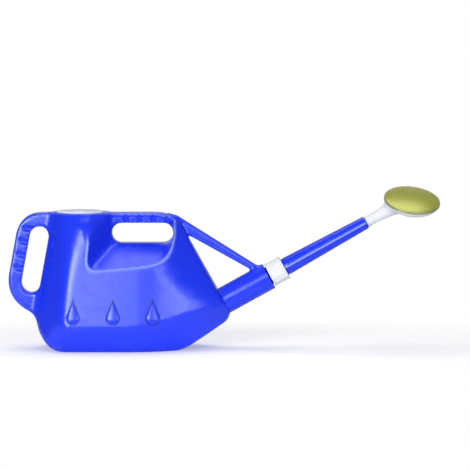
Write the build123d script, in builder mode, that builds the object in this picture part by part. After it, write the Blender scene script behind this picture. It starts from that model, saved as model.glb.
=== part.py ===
"""Watering can: a hollow tank with two hand grips, a brace and a threaded neck, a low filler cap,
a spout held on by a union nut, and a rose that plugs into the spout and swivels on it.

Frame: the origin is the middle of the flat base, +Z is up and the spout points towards +X. Sizes are in mm.
"""

import os
from math import asin, atan, cos, degrees, radians, sin, tan

from build123d import *

os.makedirs("parts", exist_ok=True)

# Tank
WALL = 2.5
DECK_HEIGHT = 233.0
BASE_LENGTH = 208.0
BASE_HALF_WIDTH = 68.0
CREASE_HEIGHT = 41.0
CREASE_HALF_WIDTH = 86.0
DECK_HALF_WIDTH = 62.0
REAR_LEAN = 10.5
REAR_TOP_X = -114.6
REAR_EDGE_HALF_WIDTH = 20.0
REAR_TAPER = 46.0
KNEE_HEIGHT = 56.0
KNEE_BULGE = 9.0
FRONT_RIDGE_X = 66.0
FRONT_HALF_WIDTH = 28.0
NOSE_TUCK = 12.0
BASE_ROUND = 10.0
FRONT_ROUND = 8.0

# Hand grips
GRIP_DEPTH = 18.5
GRIP_HALF_WIDTH = 14.0
TOP_SLOT_LENGTH = 104.0
TOP_SLOT_HEIGHT = 33.5
TOP_SLOT_START = -14.5
REAR_SLOT_LENGTH = 114.0
REAR_SLOT_WIDTH = 32.0
REAR_SLOT_HEIGHT = 152.0
REAR_BAR = 22.5
FINGER_PITCH = 22.8
FINGER_RADIUS = 13.0
FINGER_DEPTH = 2.6

# Side pockets under the top grip
POCKET_FALL_REAR = 44.0
POCKET_FALL_FRONT = 31.0
POCKET_SET_BACK = 34.5
POCKET_LIP_HALF_WIDTH = 74.0
POCKET_ROUND = 12.0

# Raised drops
DROP_RADIUS = 10.6
DROP_LENGTH = 40.0
DROP_PITCH = 64.0
DROP_BOTTOM = 48.0
DROP_RELIEF = 2.5
DROP_MIDDLE_X = -13.0

# Neck and spout line
SPOUT_ANGLE = 29.0
NECK_X = 175.5
NECK_Z = 81.0
NECK_LENGTH = 86.0
NECK_RADIUS = 23.3
NECK_WALL = 3.0
BRACE_HALF_WIDTH = 8.0
BRACE_TOP_DROP = 9.0
BRACE_ROOT = 27.0
BRACE_FOOT = 13.0
BRACE_FOOT_SET_BACK = 7.0

# Threaded joint
THREAD_PITCH = 6.0
THREAD_HEIGHT = 1.3
THREAD_CREST = 1.2
THREAD_FOOT = 2.2
THREAD_CLEARANCE = 0.4
SPIGOT_RADIUS = 17.0
SPIGOT_WALL = 2.5
SPIGOT_LENGTH = 23.0
NUT_GAP = 4.0
NUT_LENGTH = 28.0
NUT_LIP = 3.0
NUT_WALL = 2.3
NUT_FLATS = 12
NUT_BEAD = 3.0
WASHER = 2.0
FACE_CLEARANCE = 0.3

# Spout
SPOUT_ROOT_RADIUS = 14.5
SPOUT_TIP_RADIUS = 10.3
SPOUT_WALL = 2.0
SPOUT_REACH = 191.0
SOCKET_DEPTH = 24.0
SOCKET_WALL = 1.8

# Rose
ROSE_TILT = 58.5
ROSE_SWIVEL = 28.4
ROSE_RADIUS = 48.0
ROSE_REACH = 86.0
ROSE_DROP = 5.5
ROSE_DEPTH = 20.0
ROSE_WALL = 2.0
ROSE_NECK_RADIUS = 9.0
ROSE_FLARE_RADIUS = 15.0
ROSE_COLLAR = 3.5
PLUG_LENGTH = 20.0
PLUG_CLEARANCE = 0.3
PLUG_WALL = 1.5
SEAL_SECTION = 1.2
SEAL_CLEARANCE = 0.1
SEAL_SET_BACK = 8.0
FACE_SHEET = 0.8
FACE_DOME = 5.0
FACE_SKIRT = 6.0
HOLE_RADIUS = 0.7
HOLE_RINGS = 7

# Filler cap
MOUTH_X = -68.5
MOUTH_RADIUS = 34.5
RIM_WALL = 3.0
RIM_HEIGHT = 3.0
CAP_WALL = 2.2
CAP_TOP = 1.6
CAP_CLEARANCE = 0.3
CAP_SEAL = 1.2
CAP_BAR = 20.0
CAP_BAR_HEIGHT = 0.8
CAP_RECESS = 4.0
CAP_RECESS_GAP = 0.6

# Directions of the spout line
along = Vector(cos(radians(SPOUT_ANGLE)), 0, sin(radians(SPOUT_ANGLE)))
across = Vector(-sin(radians(SPOUT_ANGLE)), 0, cos(radians(SPOUT_ANGLE)))
neck_root = Vector(NECK_X, 0, NECK_Z)
spout_axis = Axis(neck_root, along)
spout_section = Plane(neck_root, x_dir=across, z_dir=(0, 1, 0))


def on_spout(distance, offset=0.0):
    """A point in the middle plane, by its distance along the spout line and its offset above it."""
    point = neck_root + along * distance + across * offset
    return point.X, point.Z


def rear_x(height):
    """Where the leaning rear wall lies at a height."""
    return REAR_TOP_X - (DECK_HEIGHT - height) * tan(radians(REAR_LEAN))


def front_x(height):
    """Where the front wall, square to the spout line, lies at a height."""
    return NECK_X - (height - NECK_Z) * tan(radians(SPOUT_ANGLE))


def side_half_width(height):
    """Half the width of the tank's flat sides at a height."""
    share = (DECK_HEIGHT - height) / (DECK_HEIGHT - CREASE_HEIGHT)
    return DECK_HALF_WIDTH + (CREASE_HALF_WIDTH - DECK_HALF_WIDTH) * share


slot_floor = DECK_HEIGHT - GRIP_DEPTH - TOP_SLOT_HEIGHT
slot_middle = DECK_HEIGHT - GRIP_DEPTH - TOP_SLOT_HEIGHT / 2
slot_round = TOP_SLOT_HEIGHT / 2
bar_start = TOP_SLOT_START + slot_round * 0.4
bar_end = TOP_SLOT_START + TOP_SLOT_LENGTH - slot_round * 0.35
rear_direction = Vector(sin(radians(REAR_LEAN)), 0, cos(radians(REAR_LEAN)))
rear_slot_x = rear_x(REAR_SLOT_HEIGHT) - REAR_SLOT_WIDTH / 2 / cos(radians(REAR_LEAN))
cap_bore = MOUTH_RADIUS + RIM_WALL + CAP_CLEARANCE
cap_radius = cap_bore + CAP_WALL
cap_seat = DECK_HEIGHT - CAP_RECESS
recess_radius = cap_radius + CAP_RECESS_GAP
nose_low = on_spout(0, -NECK_RADIUS - 0.2)
nose_tuck = (nose_low[0] - NOSE_TUCK / 2, nose_low[1] - NOSE_TUCK)


def plan_outline(height, inset, rear_round, ridge_round):
    """The tank's outline in plan at a height, drawn smaller by an inset."""
    half = side_half_width(height)
    with BuildSketch(Plane.XY.offset(height)) as outline:
        with BuildLine():
            Polyline(
                (rear_x(height), REAR_EDGE_HALF_WIDTH),
                (rear_x(height) + REAR_TAPER, half),
                (FRONT_RIDGE_X, half),
                (front_x(height) + WALL, FRONT_HALF_WIDTH),
                (front_x(height) + WALL, -FRONT_HALF_WIDTH),
                (FRONT_RIDGE_X, -half),
                (rear_x(height) + REAR_TAPER, -half),
                (rear_x(height), -REAR_EDGE_HALF_WIDTH),
                close=True,
            )
        make_face()
        by_x = outline.vertices().group_by(Axis.X)
        fillet(by_x[0], rear_round)
        ridge = outline.vertices().filter_by(lambda v: abs(abs(v.Y) - half) < 0.01)
        fillet(ridge.filter_by(lambda v: v.X < 0), ridge_round)
        ridge = outline.vertices().filter_by(lambda v: abs(abs(v.Y) - half) < 0.01)
        fillet(ridge.filter_by(lambda v: abs(v.X - FRONT_RIDGE_X) < 0.01), ridge_round)
        if inset > 0:
            offset(amount=-inset, kind=Kind.INTERSECTION)
    return outline.sketch


def lower_planes(inset):
    """The two planes on the -Y side that tuck the lower body in below the crease."""
    crease_rear = Vector(0, -CREASE_HALF_WIDTH, CREASE_HEIGHT)
    flat_normal = Vector(0, -CREASE_HEIGHT, BASE_HALF_WIDTH - CREASE_HALF_WIDTH).normalized()
    crease_bend = Vector(FRONT_RIDGE_X, -CREASE_HALF_WIDTH, CREASE_HEIGHT)
    crease_end = Vector(front_x(NECK_Z), -FRONT_HALF_WIDTH, NECK_Z)
    foot = Vector(BASE_LENGTH / 2, -BASE_HALF_WIDTH * 0.6, 0)
    nose_normal = (foot - crease_bend).cross(crease_end - crease_bend).normalized()
    return (
        Plane(crease_rear - flat_normal * inset, x_dir=(1, 0, 0), z_dir=flat_normal),
        Plane(crease_bend - nose_normal * inset, z_dir=nose_normal),
    )


def pocket(side, inset):
    """The tapered recess beside the top grip, on one side, drawn larger by an inset."""
    lip = POCKET_LIP_HALF_WIDTH - GRIP_HALF_WIDTH
    out = CREASE_HALF_WIDTH + 12 - GRIP_HALF_WIDTH
    grow = out / lip
    near = side * (GRIP_HALF_WIDTH - inset)
    far = side * (GRIP_HALF_WIDTH + out)
    back = TOP_SLOT_START - inset * 1.2
    floor = slot_floor - inset * 1.2
    front = TOP_SLOT_START + TOP_SLOT_LENGTH + inset
    top = DECK_HEIGHT + 40
    with BuildPart() as recess:
        with BuildSketch(Plane.XZ.offset(-near)):
            with BuildLine():
                Polyline((back, top), (back, floor), (front, floor), (front, top), close=True)
            make_face()
        with BuildSketch(Plane.XZ.offset(-far)):
            with BuildLine():
                Polyline(
                    (back - POCKET_SET_BACK * grow, top),
                    (back - POCKET_SET_BACK * grow, floor - POCKET_FALL_REAR * grow),
                    (front + 8, floor - POCKET_FALL_FRONT * grow),
                    (front + 8, top),
                    close=True,
                )
            make_face()
        loft(ruled=True)
        slanted = recess.edges().filter_by(lambda e: abs((e % 0.5).Y) > 0.3)
        fillet(slanted.sort_by(Axis.Z)[:2], POCKET_ROUND + inset)
    return recess.part


def side_outline(inset):
    """The tank's outline from the side, without the grip bar, drawn smaller by an inset."""
    with BuildSketch(Plane.XZ) as outline:
        with BuildLine():
            rear_foot = (-BASE_LENGTH / 2 + inset, inset)
            front_foot = (BASE_LENGTH / 2 - inset / 2, inset)
            tuck = (nose_tuck[0] - inset, nose_tuck[1] + inset)
            low = (nose_low[0] - inset * 1.5, nose_low[1] + inset)
            knee = (rear_x(KNEE_HEIGHT) + inset, KNEE_HEIGHT)
            deck = DECK_HEIGHT - inset
            Polyline(
                rear_foot,
                front_foot,
                tuck,
                low,
                (front_x(deck) - inset / cos(radians(SPOUT_ANGLE)), deck),
                (rear_x(deck) + inset / cos(radians(REAR_LEAN)), deck),
                knee,
            )
            SagittaArc(knee, rear_foot, -KNEE_BULGE)
        make_face()
    return outline.sketch


def tank_form(inset):
    """The closed form of the tank, drawn smaller all over by an inset."""
    low = plan_outline(0, inset, 8, 24)
    high = plan_outline(DECK_HEIGHT, inset, 8, 34)
    side = side_outline(inset)
    pockets = [pocket(-1, inset), pocket(1, inset)]
    with BuildPart() as form:
        loft(sections=[low, high], ruled=True)
        extrude(to_extrude=side, amount=CREASE_HALF_WIDTH + 20, both=True, mode=Mode.INTERSECT)
        for plane in lower_planes(inset):
            for face in (plane, mirrored(plane)):
                with BuildSketch(face):
                    Rectangle(4 * BASE_LENGTH, 4 * BASE_LENGTH)
                extrude(amount=BASE_LENGTH, mode=Mode.SUBTRACT)
        add(pockets, mode=Mode.SUBTRACT)
    return form.part


def mirrored(plane):
    """The same plane on the other side of the middle plane."""
    origin = Vector(plane.origin.X, -plane.origin.Y, plane.origin.Z)
    normal = Vector(plane.z_dir.X, -plane.z_dir.Y, plane.z_dir.Z)
    return Plane(origin, z_dir=normal)


def top_slot():
    """The top hand opening and the room of the grip bar, cut through from side to side."""
    with BuildPart() as cut:
        with BuildSketch(Plane.XZ):
            with Locations((TOP_SLOT_START + TOP_SLOT_LENGTH / 2, slot_middle)):
                SlotOverall(TOP_SLOT_LENGTH, TOP_SLOT_HEIGHT)
            with Locations(((bar_start + bar_end) / 2, slot_middle + 50)):
                Rectangle(bar_end - bar_start, 100)
        extrude(amount=CREASE_HALF_WIDTH + 20, both=True)
    return cut.part


def finger_dips(count, start, direction, side_step):
    """Shallow dips along a grip's edge, on both sides, one finger wide each."""
    with BuildPart() as dips:
        for index in range(count):
            for side in (-1, 1):
                middle = start + direction * (FINGER_PITCH * index) + Vector(0, side * side_step, 0)
                with Locations(middle):
                    Sphere(FINGER_RADIUS)
    return dips.part


def drop_plane(index, side):
    """The plane of one raised drop, on the flat side of the tank, at the middle of its round end."""
    height = DROP_BOTTOM + DROP_RADIUS
    lean = atan((CREASE_HALF_WIDTH - DECK_HALF_WIDTH) / (DECK_HEIGHT - CREASE_HEIGHT))
    middle = Vector(DROP_MIDDLE_X + DROP_PITCH * index, side * side_half_width(height), height)
    outward = Vector(0, side * cos(lean), sin(lean))
    return Plane(middle - outward * 0.5, x_dir=(-side, 0, 0), z_dir=outward)


def thread_ridge(radius, inward, start, turns):
    """A helical ridge round the spout line, standing out from a radius or into it."""
    side = -1 if inward else 1
    with BuildPart() as ridge:
        with BuildLine() as path:
            Helix(THREAD_PITCH, THREAD_PITCH * turns, radius, center=neck_root + along * start, direction=along)
        begin = path.line @ 0
        out = (begin - (neck_root + along * start)).normalized() * side
        with BuildSketch(Plane(begin, x_dir=out, z_dir=path.line % 0)):
            with BuildLine():
                Polyline(
                    (-0.4, -THREAD_FOOT / 2),
                    (0, -THREAD_FOOT / 2),
                    (THREAD_HEIGHT, -THREAD_CREST / 2),
                    (THREAD_HEIGHT, THREAD_CREST / 2),
                    (0, THREAD_FOOT / 2),
                    (-0.4, THREAD_FOOT / 2),
                    close=True,
                )
            make_face()
        sweep(path=path.line, is_frenet=True)
    return ridge.part


def turned(points, axis_plane=spout_section, axis=spout_axis):
    """A turned solid, from (radius, distance) points beside the line it turns about."""
    with BuildPart() as piece:
        with BuildSketch(axis_plane):
            with BuildLine():
                Polyline(*points, close=True)
            make_face()
        revolve(axis=axis)
    return piece.part


# Distances along the spout line
spigot_start = NECK_LENGTH
spigot_end = spigot_start + SPIGOT_LENGTH
nut_start = spigot_start + NUT_GAP
nut_end = nut_start + NUT_LENGTH
nut_seat = nut_end - NUT_LIP
flange_start = spigot_end + WASHER
flange_end = nut_seat - FACE_CLEARANCE
spout_tip = spigot_start + SPOUT_REACH
nut_bore = SPIGOT_RADIUS + THREAD_HEIGHT + THREAD_CLEARANCE
nut_radius = nut_bore + NUT_WALL
flange_radius = nut_bore - THREAD_HEIGHT - THREAD_CLEARANCE
lip_radius = SPOUT_ROOT_RADIUS + 2 * THREAD_CLEARANCE
socket_radius = SPOUT_TIP_RADIUS - SOCKET_WALL
plug_radius = socket_radius - PLUG_CLEARANCE
seal_distance = spout_tip - SEAL_SET_BACK
seal_centre_radius = socket_radius - SEAL_CLEARANCE - SEAL_SECTION
groove_radius = seal_centre_radius - SEAL_SECTION - SEAL_CLEARANCE

# Tank shell
with BuildPart() as tank_outer:
    add(tank_form(0))
    fillet(tank_outer.edges().filter_by(lambda e: e.center().Z < 0.01), BASE_ROUND)
    front_edges = tank_outer.edges().filter_by(
        lambda e: abs((e.center() - neck_root).dot(along)) < 0.1 and e.length > NECK_LENGTH
    )
    fillet(front_edges, FRONT_ROUND)
tank_inner = tank_form(WALL)
slot_room = top_slot()
deck = Plane(Vector(MOUTH_X, 0, DECK_HEIGHT), z_dir=(0, 0, 1))
mouth = Plane(Vector(MOUTH_X, 0, cap_seat), z_dir=(0, 0, 1))
with BuildPart() as tank_room:
    add(tank_inner)
    with BuildSketch(deck):
        Circle(recess_radius + 2 * WALL)
    extrude(amount=-CAP_RECESS - WALL, mode=Mode.SUBTRACT)
    with BuildSketch(Plane.XZ):
        with Locations((TOP_SLOT_START - WALL, slot_floor - WALL)):
            Rectangle(2 * BASE_LENGTH, DECK_HEIGHT, align=(Align.MIN, Align.MIN))
    extrude(amount=2 * CREASE_HALF_WIDTH, both=True, mode=Mode.SUBTRACT)

with BuildPart() as tank_shell:
    add(tank_outer.part)
    for index in (-1, 0, 1):
        for side in (-1, 1):
            tangent = degrees(asin(DROP_RADIUS / (DROP_LENGTH - DROP_RADIUS)))
            touch = (
                DROP_RADIUS * cos(radians(tangent)),
                DROP_RADIUS * sin(radians(tangent)),
            )
            with BuildSketch(drop_plane(index, side)):
                with BuildLine():
                    Polyline(touch, (0, DROP_LENGTH - DROP_RADIUS), (-touch[0], touch[1]))
                    ThreePointArc(touch, (0, -DROP_RADIUS), (-touch[0], touch[1]))
                make_face()
            extrude(amount=DROP_RELIEF + 0.5, taper=30)
    add(slot_room, mode=Mode.SUBTRACT)
    add(tank_room.part, mode=Mode.SUBTRACT)
    with BuildSketch(deck):
        Circle(recess_radius)
    extrude(amount=-CAP_RECESS, mode=Mode.SUBTRACT)
    with BuildSketch(mouth):
        Circle(MOUTH_RADIUS + RIM_WALL)
    extrude(amount=RIM_HEIGHT)
    with BuildSketch(mouth):
        Circle(MOUTH_RADIUS)
    extrude(amount=2 * RIM_HEIGHT + WALL, both=True, mode=Mode.SUBTRACT)
    with BuildSketch(Plane(neck_root, z_dir=along)):
        Circle(NECK_RADIUS - NECK_WALL)
    extrude(amount=4 * WALL, both=True, mode=Mode.SUBTRACT)
tank_shell.part.label = "tank_shell"
export_step(tank_shell.part, "parts/tank_shell.step")

# Top handle: the bar that closes the hand opening
top_dips = finger_dips(
    4,
    Vector((bar_start + bar_end) / 2 - 1.5 * FINGER_PITCH * 0.85, 0, DECK_HEIGHT - GRIP_DEPTH / 2),
    Vector(0.85, 0, 0),
    GRIP_HALF_WIDTH + FINGER_RADIUS - FINGER_DEPTH,
)
with BuildPart() as top_handle:
    with BuildSketch(Plane.XZ):
        with Locations((bar_start, slot_middle)):
            Rectangle(bar_end - bar_start, DECK_HEIGHT - slot_middle, align=(Align.MIN, Align.MIN))
        with Locations((TOP_SLOT_START + TOP_SLOT_LENGTH / 2, slot_middle)):
            SlotOverall(TOP_SLOT_LENGTH, TOP_SLOT_HEIGHT, mode=Mode.SUBTRACT)
    extrude(amount=GRIP_HALF_WIDTH, both=True)
    add(top_dips, mode=Mode.SUBTRACT)
top_handle.part.label = "top_handle"
export_step(top_handle.part, "parts/top_handle.step")

# Rear handle: a ring round a slanted slot, cut off by the rear wall
rear_middle = Vector(rear_slot_x, 0, REAR_SLOT_HEIGHT)
rear_centres = REAR_SLOT_LENGTH - REAR_SLOT_WIDTH
low_round = rear_middle - rear_direction * (rear_centres / 2)
high_round = rear_middle + rear_direction * (rear_centres / 2)
outer_round = REAR_SLOT_WIDTH / 2 + REAR_BAR
web_start = low_round + Vector(cos(radians(245)), 0, sin(radians(245))) * outer_round
rear_dips = finger_dips(
    4,
    rear_middle
    - rear_direction * (1.5 * FINGER_PITCH * 0.95)
    - Vector(cos(radians(REAR_LEAN)), 0, -sin(radians(REAR_LEAN))) * (REAR_SLOT_WIDTH / 2 + REAR_BAR * 0.4),
    rear_direction * 0.95,
    GRIP_HALF_WIDTH + FINGER_RADIUS - FINGER_DEPTH,
)
with BuildPart() as rear_handle:
    with BuildSketch(Plane.XZ):
        with Locations((rear_slot_x, REAR_SLOT_HEIGHT)):
            SlotCenterToCenter(rear_centres, 2 * outer_round, rotation=90 - REAR_LEAN)
        with BuildLine():
            Polyline(
                (web_start.X, web_start.Z),
                (rear_x(KNEE_HEIGHT + WALL), KNEE_HEIGHT + WALL),
                (rear_x(low_round.Z), low_round.Z),
                close=True,
            )
        make_face()
        with BuildLine():
            Polyline(
                (high_round.X, high_round.Z + outer_round),
                (rear_x(high_round.Z), high_round.Z),
                (rear_x(high_round.Z + outer_round), high_round.Z + outer_round),
                close=True,
            )
        make_face()
        with Locations((rear_slot_x, REAR_SLOT_HEIGHT)):
            SlotCenterToCenter(rear_centres, REAR_SLOT_WIDTH, rotation=90 - REAR_LEAN, mode=Mode.SUBTRACT)
        with BuildLine():
            Polyline(
                (rear_x(0), 0),
                (rear_x(2 * DECK_HEIGHT), 2 * DECK_HEIGHT),
                (BASE_LENGTH, 2 * DECK_HEIGHT),
                (BASE_LENGTH, 0),
                close=True,
            )
        make_face(mode=Mode.SUBTRACT)
    extrude(amount=GRIP_HALF_WIDTH, both=True)
    add(rear_dips, mode=Mode.SUBTRACT)
rear_handle.part.label = "rear_handle"
export_step(rear_handle.part, "parts/rear_handle.step")

# Neck with the threaded spigot
spigot_ridge = thread_ridge(SPIGOT_RADIUS, False, spigot_start + NUT_GAP, 2.5)
spigot_bore = SPIGOT_RADIUS - SPIGOT_WALL
neck_form = turned(
    [
        (NECK_RADIUS - NECK_WALL, 0),
        (NECK_RADIUS, 0),
        (NECK_RADIUS, spigot_start),
        (SPIGOT_RADIUS, spigot_start),
        (SPIGOT_RADIUS, spigot_end),
        (spigot_bore, spigot_end),
        (spigot_bore, spigot_start),
        (NECK_RADIUS - NECK_WALL, spigot_start - 2 * NECK_WALL),
    ]
)
with BuildPart() as spout_neck:
    add(neck_form)
    add(spigot_ridge)
spout_neck.part.label = "spout_neck"
export_step(spout_neck.part, "parts/spout_neck.step")

# Brace between the front of the top handle and the neck
brace_end = NECK_LENGTH - BRACE_FOOT_SET_BACK
neck_solid = turned(
    [(0, 0), (NECK_RADIUS, 0), (NECK_RADIUS, NECK_LENGTH), (0, NECK_LENGTH)]
)
with BuildPart() as brace:
    with BuildSketch(Plane.XZ):
        with BuildLine():
            brace_top = DECK_HEIGHT - BRACE_TOP_DROP
            Polyline(
                (front_x(brace_top), brace_top),
                on_spout(brace_end, NECK_RADIUS * 0.8),
                on_spout(brace_end - BRACE_FOOT, NECK_RADIUS * 0.8),
                (front_x(brace_top - BRACE_ROOT), brace_top - BRACE_ROOT),
                close=True,
            )
        make_face()
    extrude(amount=BRACE_HALF_WIDTH, both=True)
    add(neck_solid, mode=Mode.SUBTRACT)
brace.part.label = "brace"
export_step(brace.part, "parts/brace.step")

# Union nut
nut_ridge = thread_ridge(nut_bore, True, nut_start + THREAD_PITCH / 2 + NUT_GAP / 4, 2)
nut_form = turned(
    [
        (nut_bore, nut_start),
        (nut_radius, nut_start),
        (nut_radius, nut_end),
        (lip_radius, nut_end),
        (lip_radius, nut_seat),
        (nut_bore, nut_seat),
    ]
)
with BuildPart() as union_nut:
    add(nut_form)
    with BuildSketch(Plane(neck_root + along * (nut_start + NUT_BEAD), z_dir=along)):
        Circle(2 * nut_radius)
        RegularPolygon(nut_radius, NUT_FLATS, mode=Mode.SUBTRACT)
    extrude(amount=NUT_LENGTH - 2 * NUT_BEAD, mode=Mode.SUBTRACT)
    add(nut_ridge)
union_nut.part.label = "union_nut"
export_step(union_nut.part, "parts/union_nut.step")

# Washer
spout_washer = turned(
    [
        (spigot_bore, spigot_end),
        (SPIGOT_RADIUS, spigot_end),
        (SPIGOT_RADIUS, flange_start),
        (spigot_bore, flange_start),
    ]
)
spout_washer.label = "spout_washer"
export_step(spout_washer, "parts/spout_washer.step")

# Spout tube
spout_tube = turned(
    [
        (SPOUT_ROOT_RADIUS - SPOUT_WALL, flange_start),
        (flange_radius, flange_start),
        (flange_radius, flange_end),
        (SPOUT_ROOT_RADIUS, flange_end),
        (SPOUT_ROOT_RADIUS, nut_end),
        (SPOUT_TIP_RADIUS, spout_tip),
        (socket_radius, spout_tip),
        (socket_radius, spout_tip - SOCKET_DEPTH),
    ]
)
spout_tube.label = "spout_tube"
export_step(spout_tube, "parts/spout_tube.step")

# Rose seal
with BuildPart() as rose_seal:
    with BuildSketch(spout_section):
        with Locations((seal_centre_radius, seal_distance)):
            Circle(SEAL_SECTION)
    revolve(axis=spout_axis)
rose_seal.part.label = "rose_seal"
export_step(rose_seal.part, "parts/rose_seal.step")

# Rose body, turned about the spout line by its swivel
rose_up = across * cos(radians(ROSE_SWIVEL)) + Vector(0, -1, 0) * sin(radians(ROSE_SWIVEL))
rose_middle = neck_root + along * (spout_tip + ROSE_REACH) - rose_up * ROSE_DROP
rose_normal = along * cos(radians(ROSE_TILT)) + rose_up * sin(radians(ROSE_TILT))
rose_axis = Axis(rose_middle, rose_normal)
rose_cross = along * sin(radians(ROSE_TILT)) - rose_up * cos(radians(ROSE_TILT))
rose_section = Plane(rose_middle, x_dir=rose_cross, z_dir=rose_cross.cross(rose_normal))
rose_face_plane = Plane(rose_middle, x_dir=rose_cross, z_dir=rose_normal)
bowl_radius = ROSE_RADIUS - FACE_SHEET
flare_end = spout_tip + ROSE_REACH * 0.75
dish = turned(
    [
        (0, 0),
        (bowl_radius, 0),
        (bowl_radius, -FACE_SKIRT),
        (bowl_radius * 0.88, -ROSE_DEPTH * 0.6),
        (bowl_radius * 0.62, -ROSE_DEPTH * 0.9),
        (bowl_radius * 0.3, -ROSE_DEPTH),
        (0, -ROSE_DEPTH),
    ],
    rose_section,
    rose_axis,
)
dish_room = turned(
    [
        (0, 0),
        (bowl_radius - ROSE_WALL, 0),
        (bowl_radius - ROSE_WALL, -FACE_SKIRT),
        (bowl_radius * 0.88 - ROSE_WALL, -ROSE_DEPTH * 0.6 + ROSE_WALL),
        (bowl_radius * 0.62 - ROSE_WALL, -ROSE_DEPTH * 0.9 + ROSE_WALL),
        (bowl_radius * 0.3, -ROSE_DEPTH + ROSE_WALL),
        (0, -ROSE_DEPTH + ROSE_WALL),
    ],
    rose_section,
    rose_axis,
)
plug = turned(
    [
        (0, spout_tip - PLUG_LENGTH),
        (plug_radius, spout_tip - PLUG_LENGTH),
        (plug_radius, seal_distance - SEAL_SECTION - SEAL_CLEARANCE),
        (groove_radius, seal_distance - SEAL_SECTION - SEAL_CLEARANCE),
        (groove_radius, seal_distance + SEAL_SECTION + SEAL_CLEARANCE),
        (plug_radius, seal_distance + SEAL_SECTION + SEAL_CLEARANCE),
        (plug_radius, spout_tip + FACE_CLEARANCE),
        (SPOUT_TIP_RADIUS, spout_tip + FACE_CLEARANCE),
        (SPOUT_TIP_RADIUS, spout_tip + ROSE_COLLAR),
        (ROSE_NECK_RADIUS, spout_tip + ROSE_COLLAR),
        (ROSE_NECK_RADIUS, spout_tip + 4 * ROSE_COLLAR),
        (ROSE_FLARE_RADIUS, flare_end),
        (0, flare_end),
    ]
)
plug_bore = groove_radius - PLUG_WALL
rose_bore = turned(
    [
        (0, spout_tip - PLUG_LENGTH - 1),
        (plug_bore, spout_tip - PLUG_LENGTH - 1),
        (plug_bore, spout_tip),
        (ROSE_NECK_RADIUS - ROSE_WALL, spout_tip + 4 * ROSE_COLLAR),
        (ROSE_FLARE_RADIUS - ROSE_WALL, flare_end),
        (0, flare_end),
    ]
)
with BuildPart() as rose_body:
    add(plug)
    with BuildSketch(rose_face_plane):
        Rectangle(8 * ROSE_RADIUS, 8 * ROSE_RADIUS)
    extrude(amount=4 * ROSE_RADIUS, mode=Mode.SUBTRACT)
    add(dish)
    add(dish_room, mode=Mode.SUBTRACT)
    add(rose_bore, mode=Mode.SUBTRACT)
rose_body.part.label = "rose_body"
export_step(rose_body.part, "parts/rose_body.step")

# Rose face: a domed sheet with rings of holes, its edge turned down round the bowl
with BuildPart() as rose_face:
    with BuildSketch(rose_section):
        with BuildLine():
            ThreePointArc(
                (ROSE_RADIUS, FACE_SHEET),
                (ROSE_RADIUS * 0.5, FACE_SHEET + FACE_DOME * 0.75),
                (0, FACE_SHEET + FACE_DOME),
            )
            Line((0, FACE_SHEET + FACE_DOME), (0, FACE_DOME))
            ThreePointArc((0, FACE_DOME), (bowl_radius * 0.5, FACE_DOME * 0.75), (bowl_radius, 0))
            Polyline(
                (bowl_radius, 0),
                (bowl_radius, -FACE_SKIRT),
                (ROSE_RADIUS, -FACE_SKIRT),
                (ROSE_RADIUS, FACE_SHEET),
            )
        make_face()
    revolve(axis=rose_axis)
    with BuildSketch(rose_face_plane):
        Circle(HOLE_RADIUS)
        for ring in range(1, HOLE_RINGS + 1):
            with PolarLocations(ring * (ROSE_RADIUS - 6) / HOLE_RINGS, 6 * ring):
                Circle(HOLE_RADIUS)
    extrude(amount=2 * FACE_DOME + FACE_SHEET, mode=Mode.SUBTRACT)
rose_face.part.label = "rose_face"
export_step(rose_face.part, "parts/rose_face.step")

# Filler cap and its seal
cap_floor = cap_seat + RIM_HEIGHT + CAP_SEAL
with BuildPart() as filler_cap:
    with BuildSketch(mouth.offset(FACE_CLEARANCE)):
        Circle(cap_radius)
    extrude(amount=cap_floor + CAP_TOP - cap_seat - FACE_CLEARANCE)
    fillet(filler_cap.edges().group_by(Axis.Z)[-1], CAP_TOP * 0.8)
    with BuildSketch(mouth):
        Circle(cap_bore)
    extrude(amount=cap_floor - cap_seat, mode=Mode.SUBTRACT)
    with BuildSketch(Plane(Vector(MOUTH_X, 0, cap_floor + CAP_TOP), z_dir=(0, 0, 1))):
        SlotOverall(1.4 * MOUTH_RADIUS, CAP_BAR, rotation=90)
    extrude(amount=CAP_BAR_HEIGHT, taper=20)
filler_cap.part.label = "filler_cap"
export_step(filler_cap.part, "parts/filler_cap.step")

with BuildPart() as cap_seal:
    with BuildSketch(mouth.offset(RIM_HEIGHT)):
        Circle(cap_bore)
        Circle(MOUTH_RADIUS - RIM_WALL, mode=Mode.SUBTRACT)
    extrude(amount=CAP_SEAL)
cap_seal.part.label = "cap_seal"
export_step(cap_seal.part, "parts/cap_seal.step")
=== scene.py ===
# %% [markdown]
# # A moulded watering can
# The can is built in the frame of its solid model, in metres: the middle of the flat base is the
# origin, +Z is up and the spout points along +X. The solid model gives the joints and nearly every size.
# This lesson gives the can its surfaces: a blow-moulded tank, a tapered spout, a union nut, a perforated
# rose and a sunk filler cap.

import math

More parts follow.
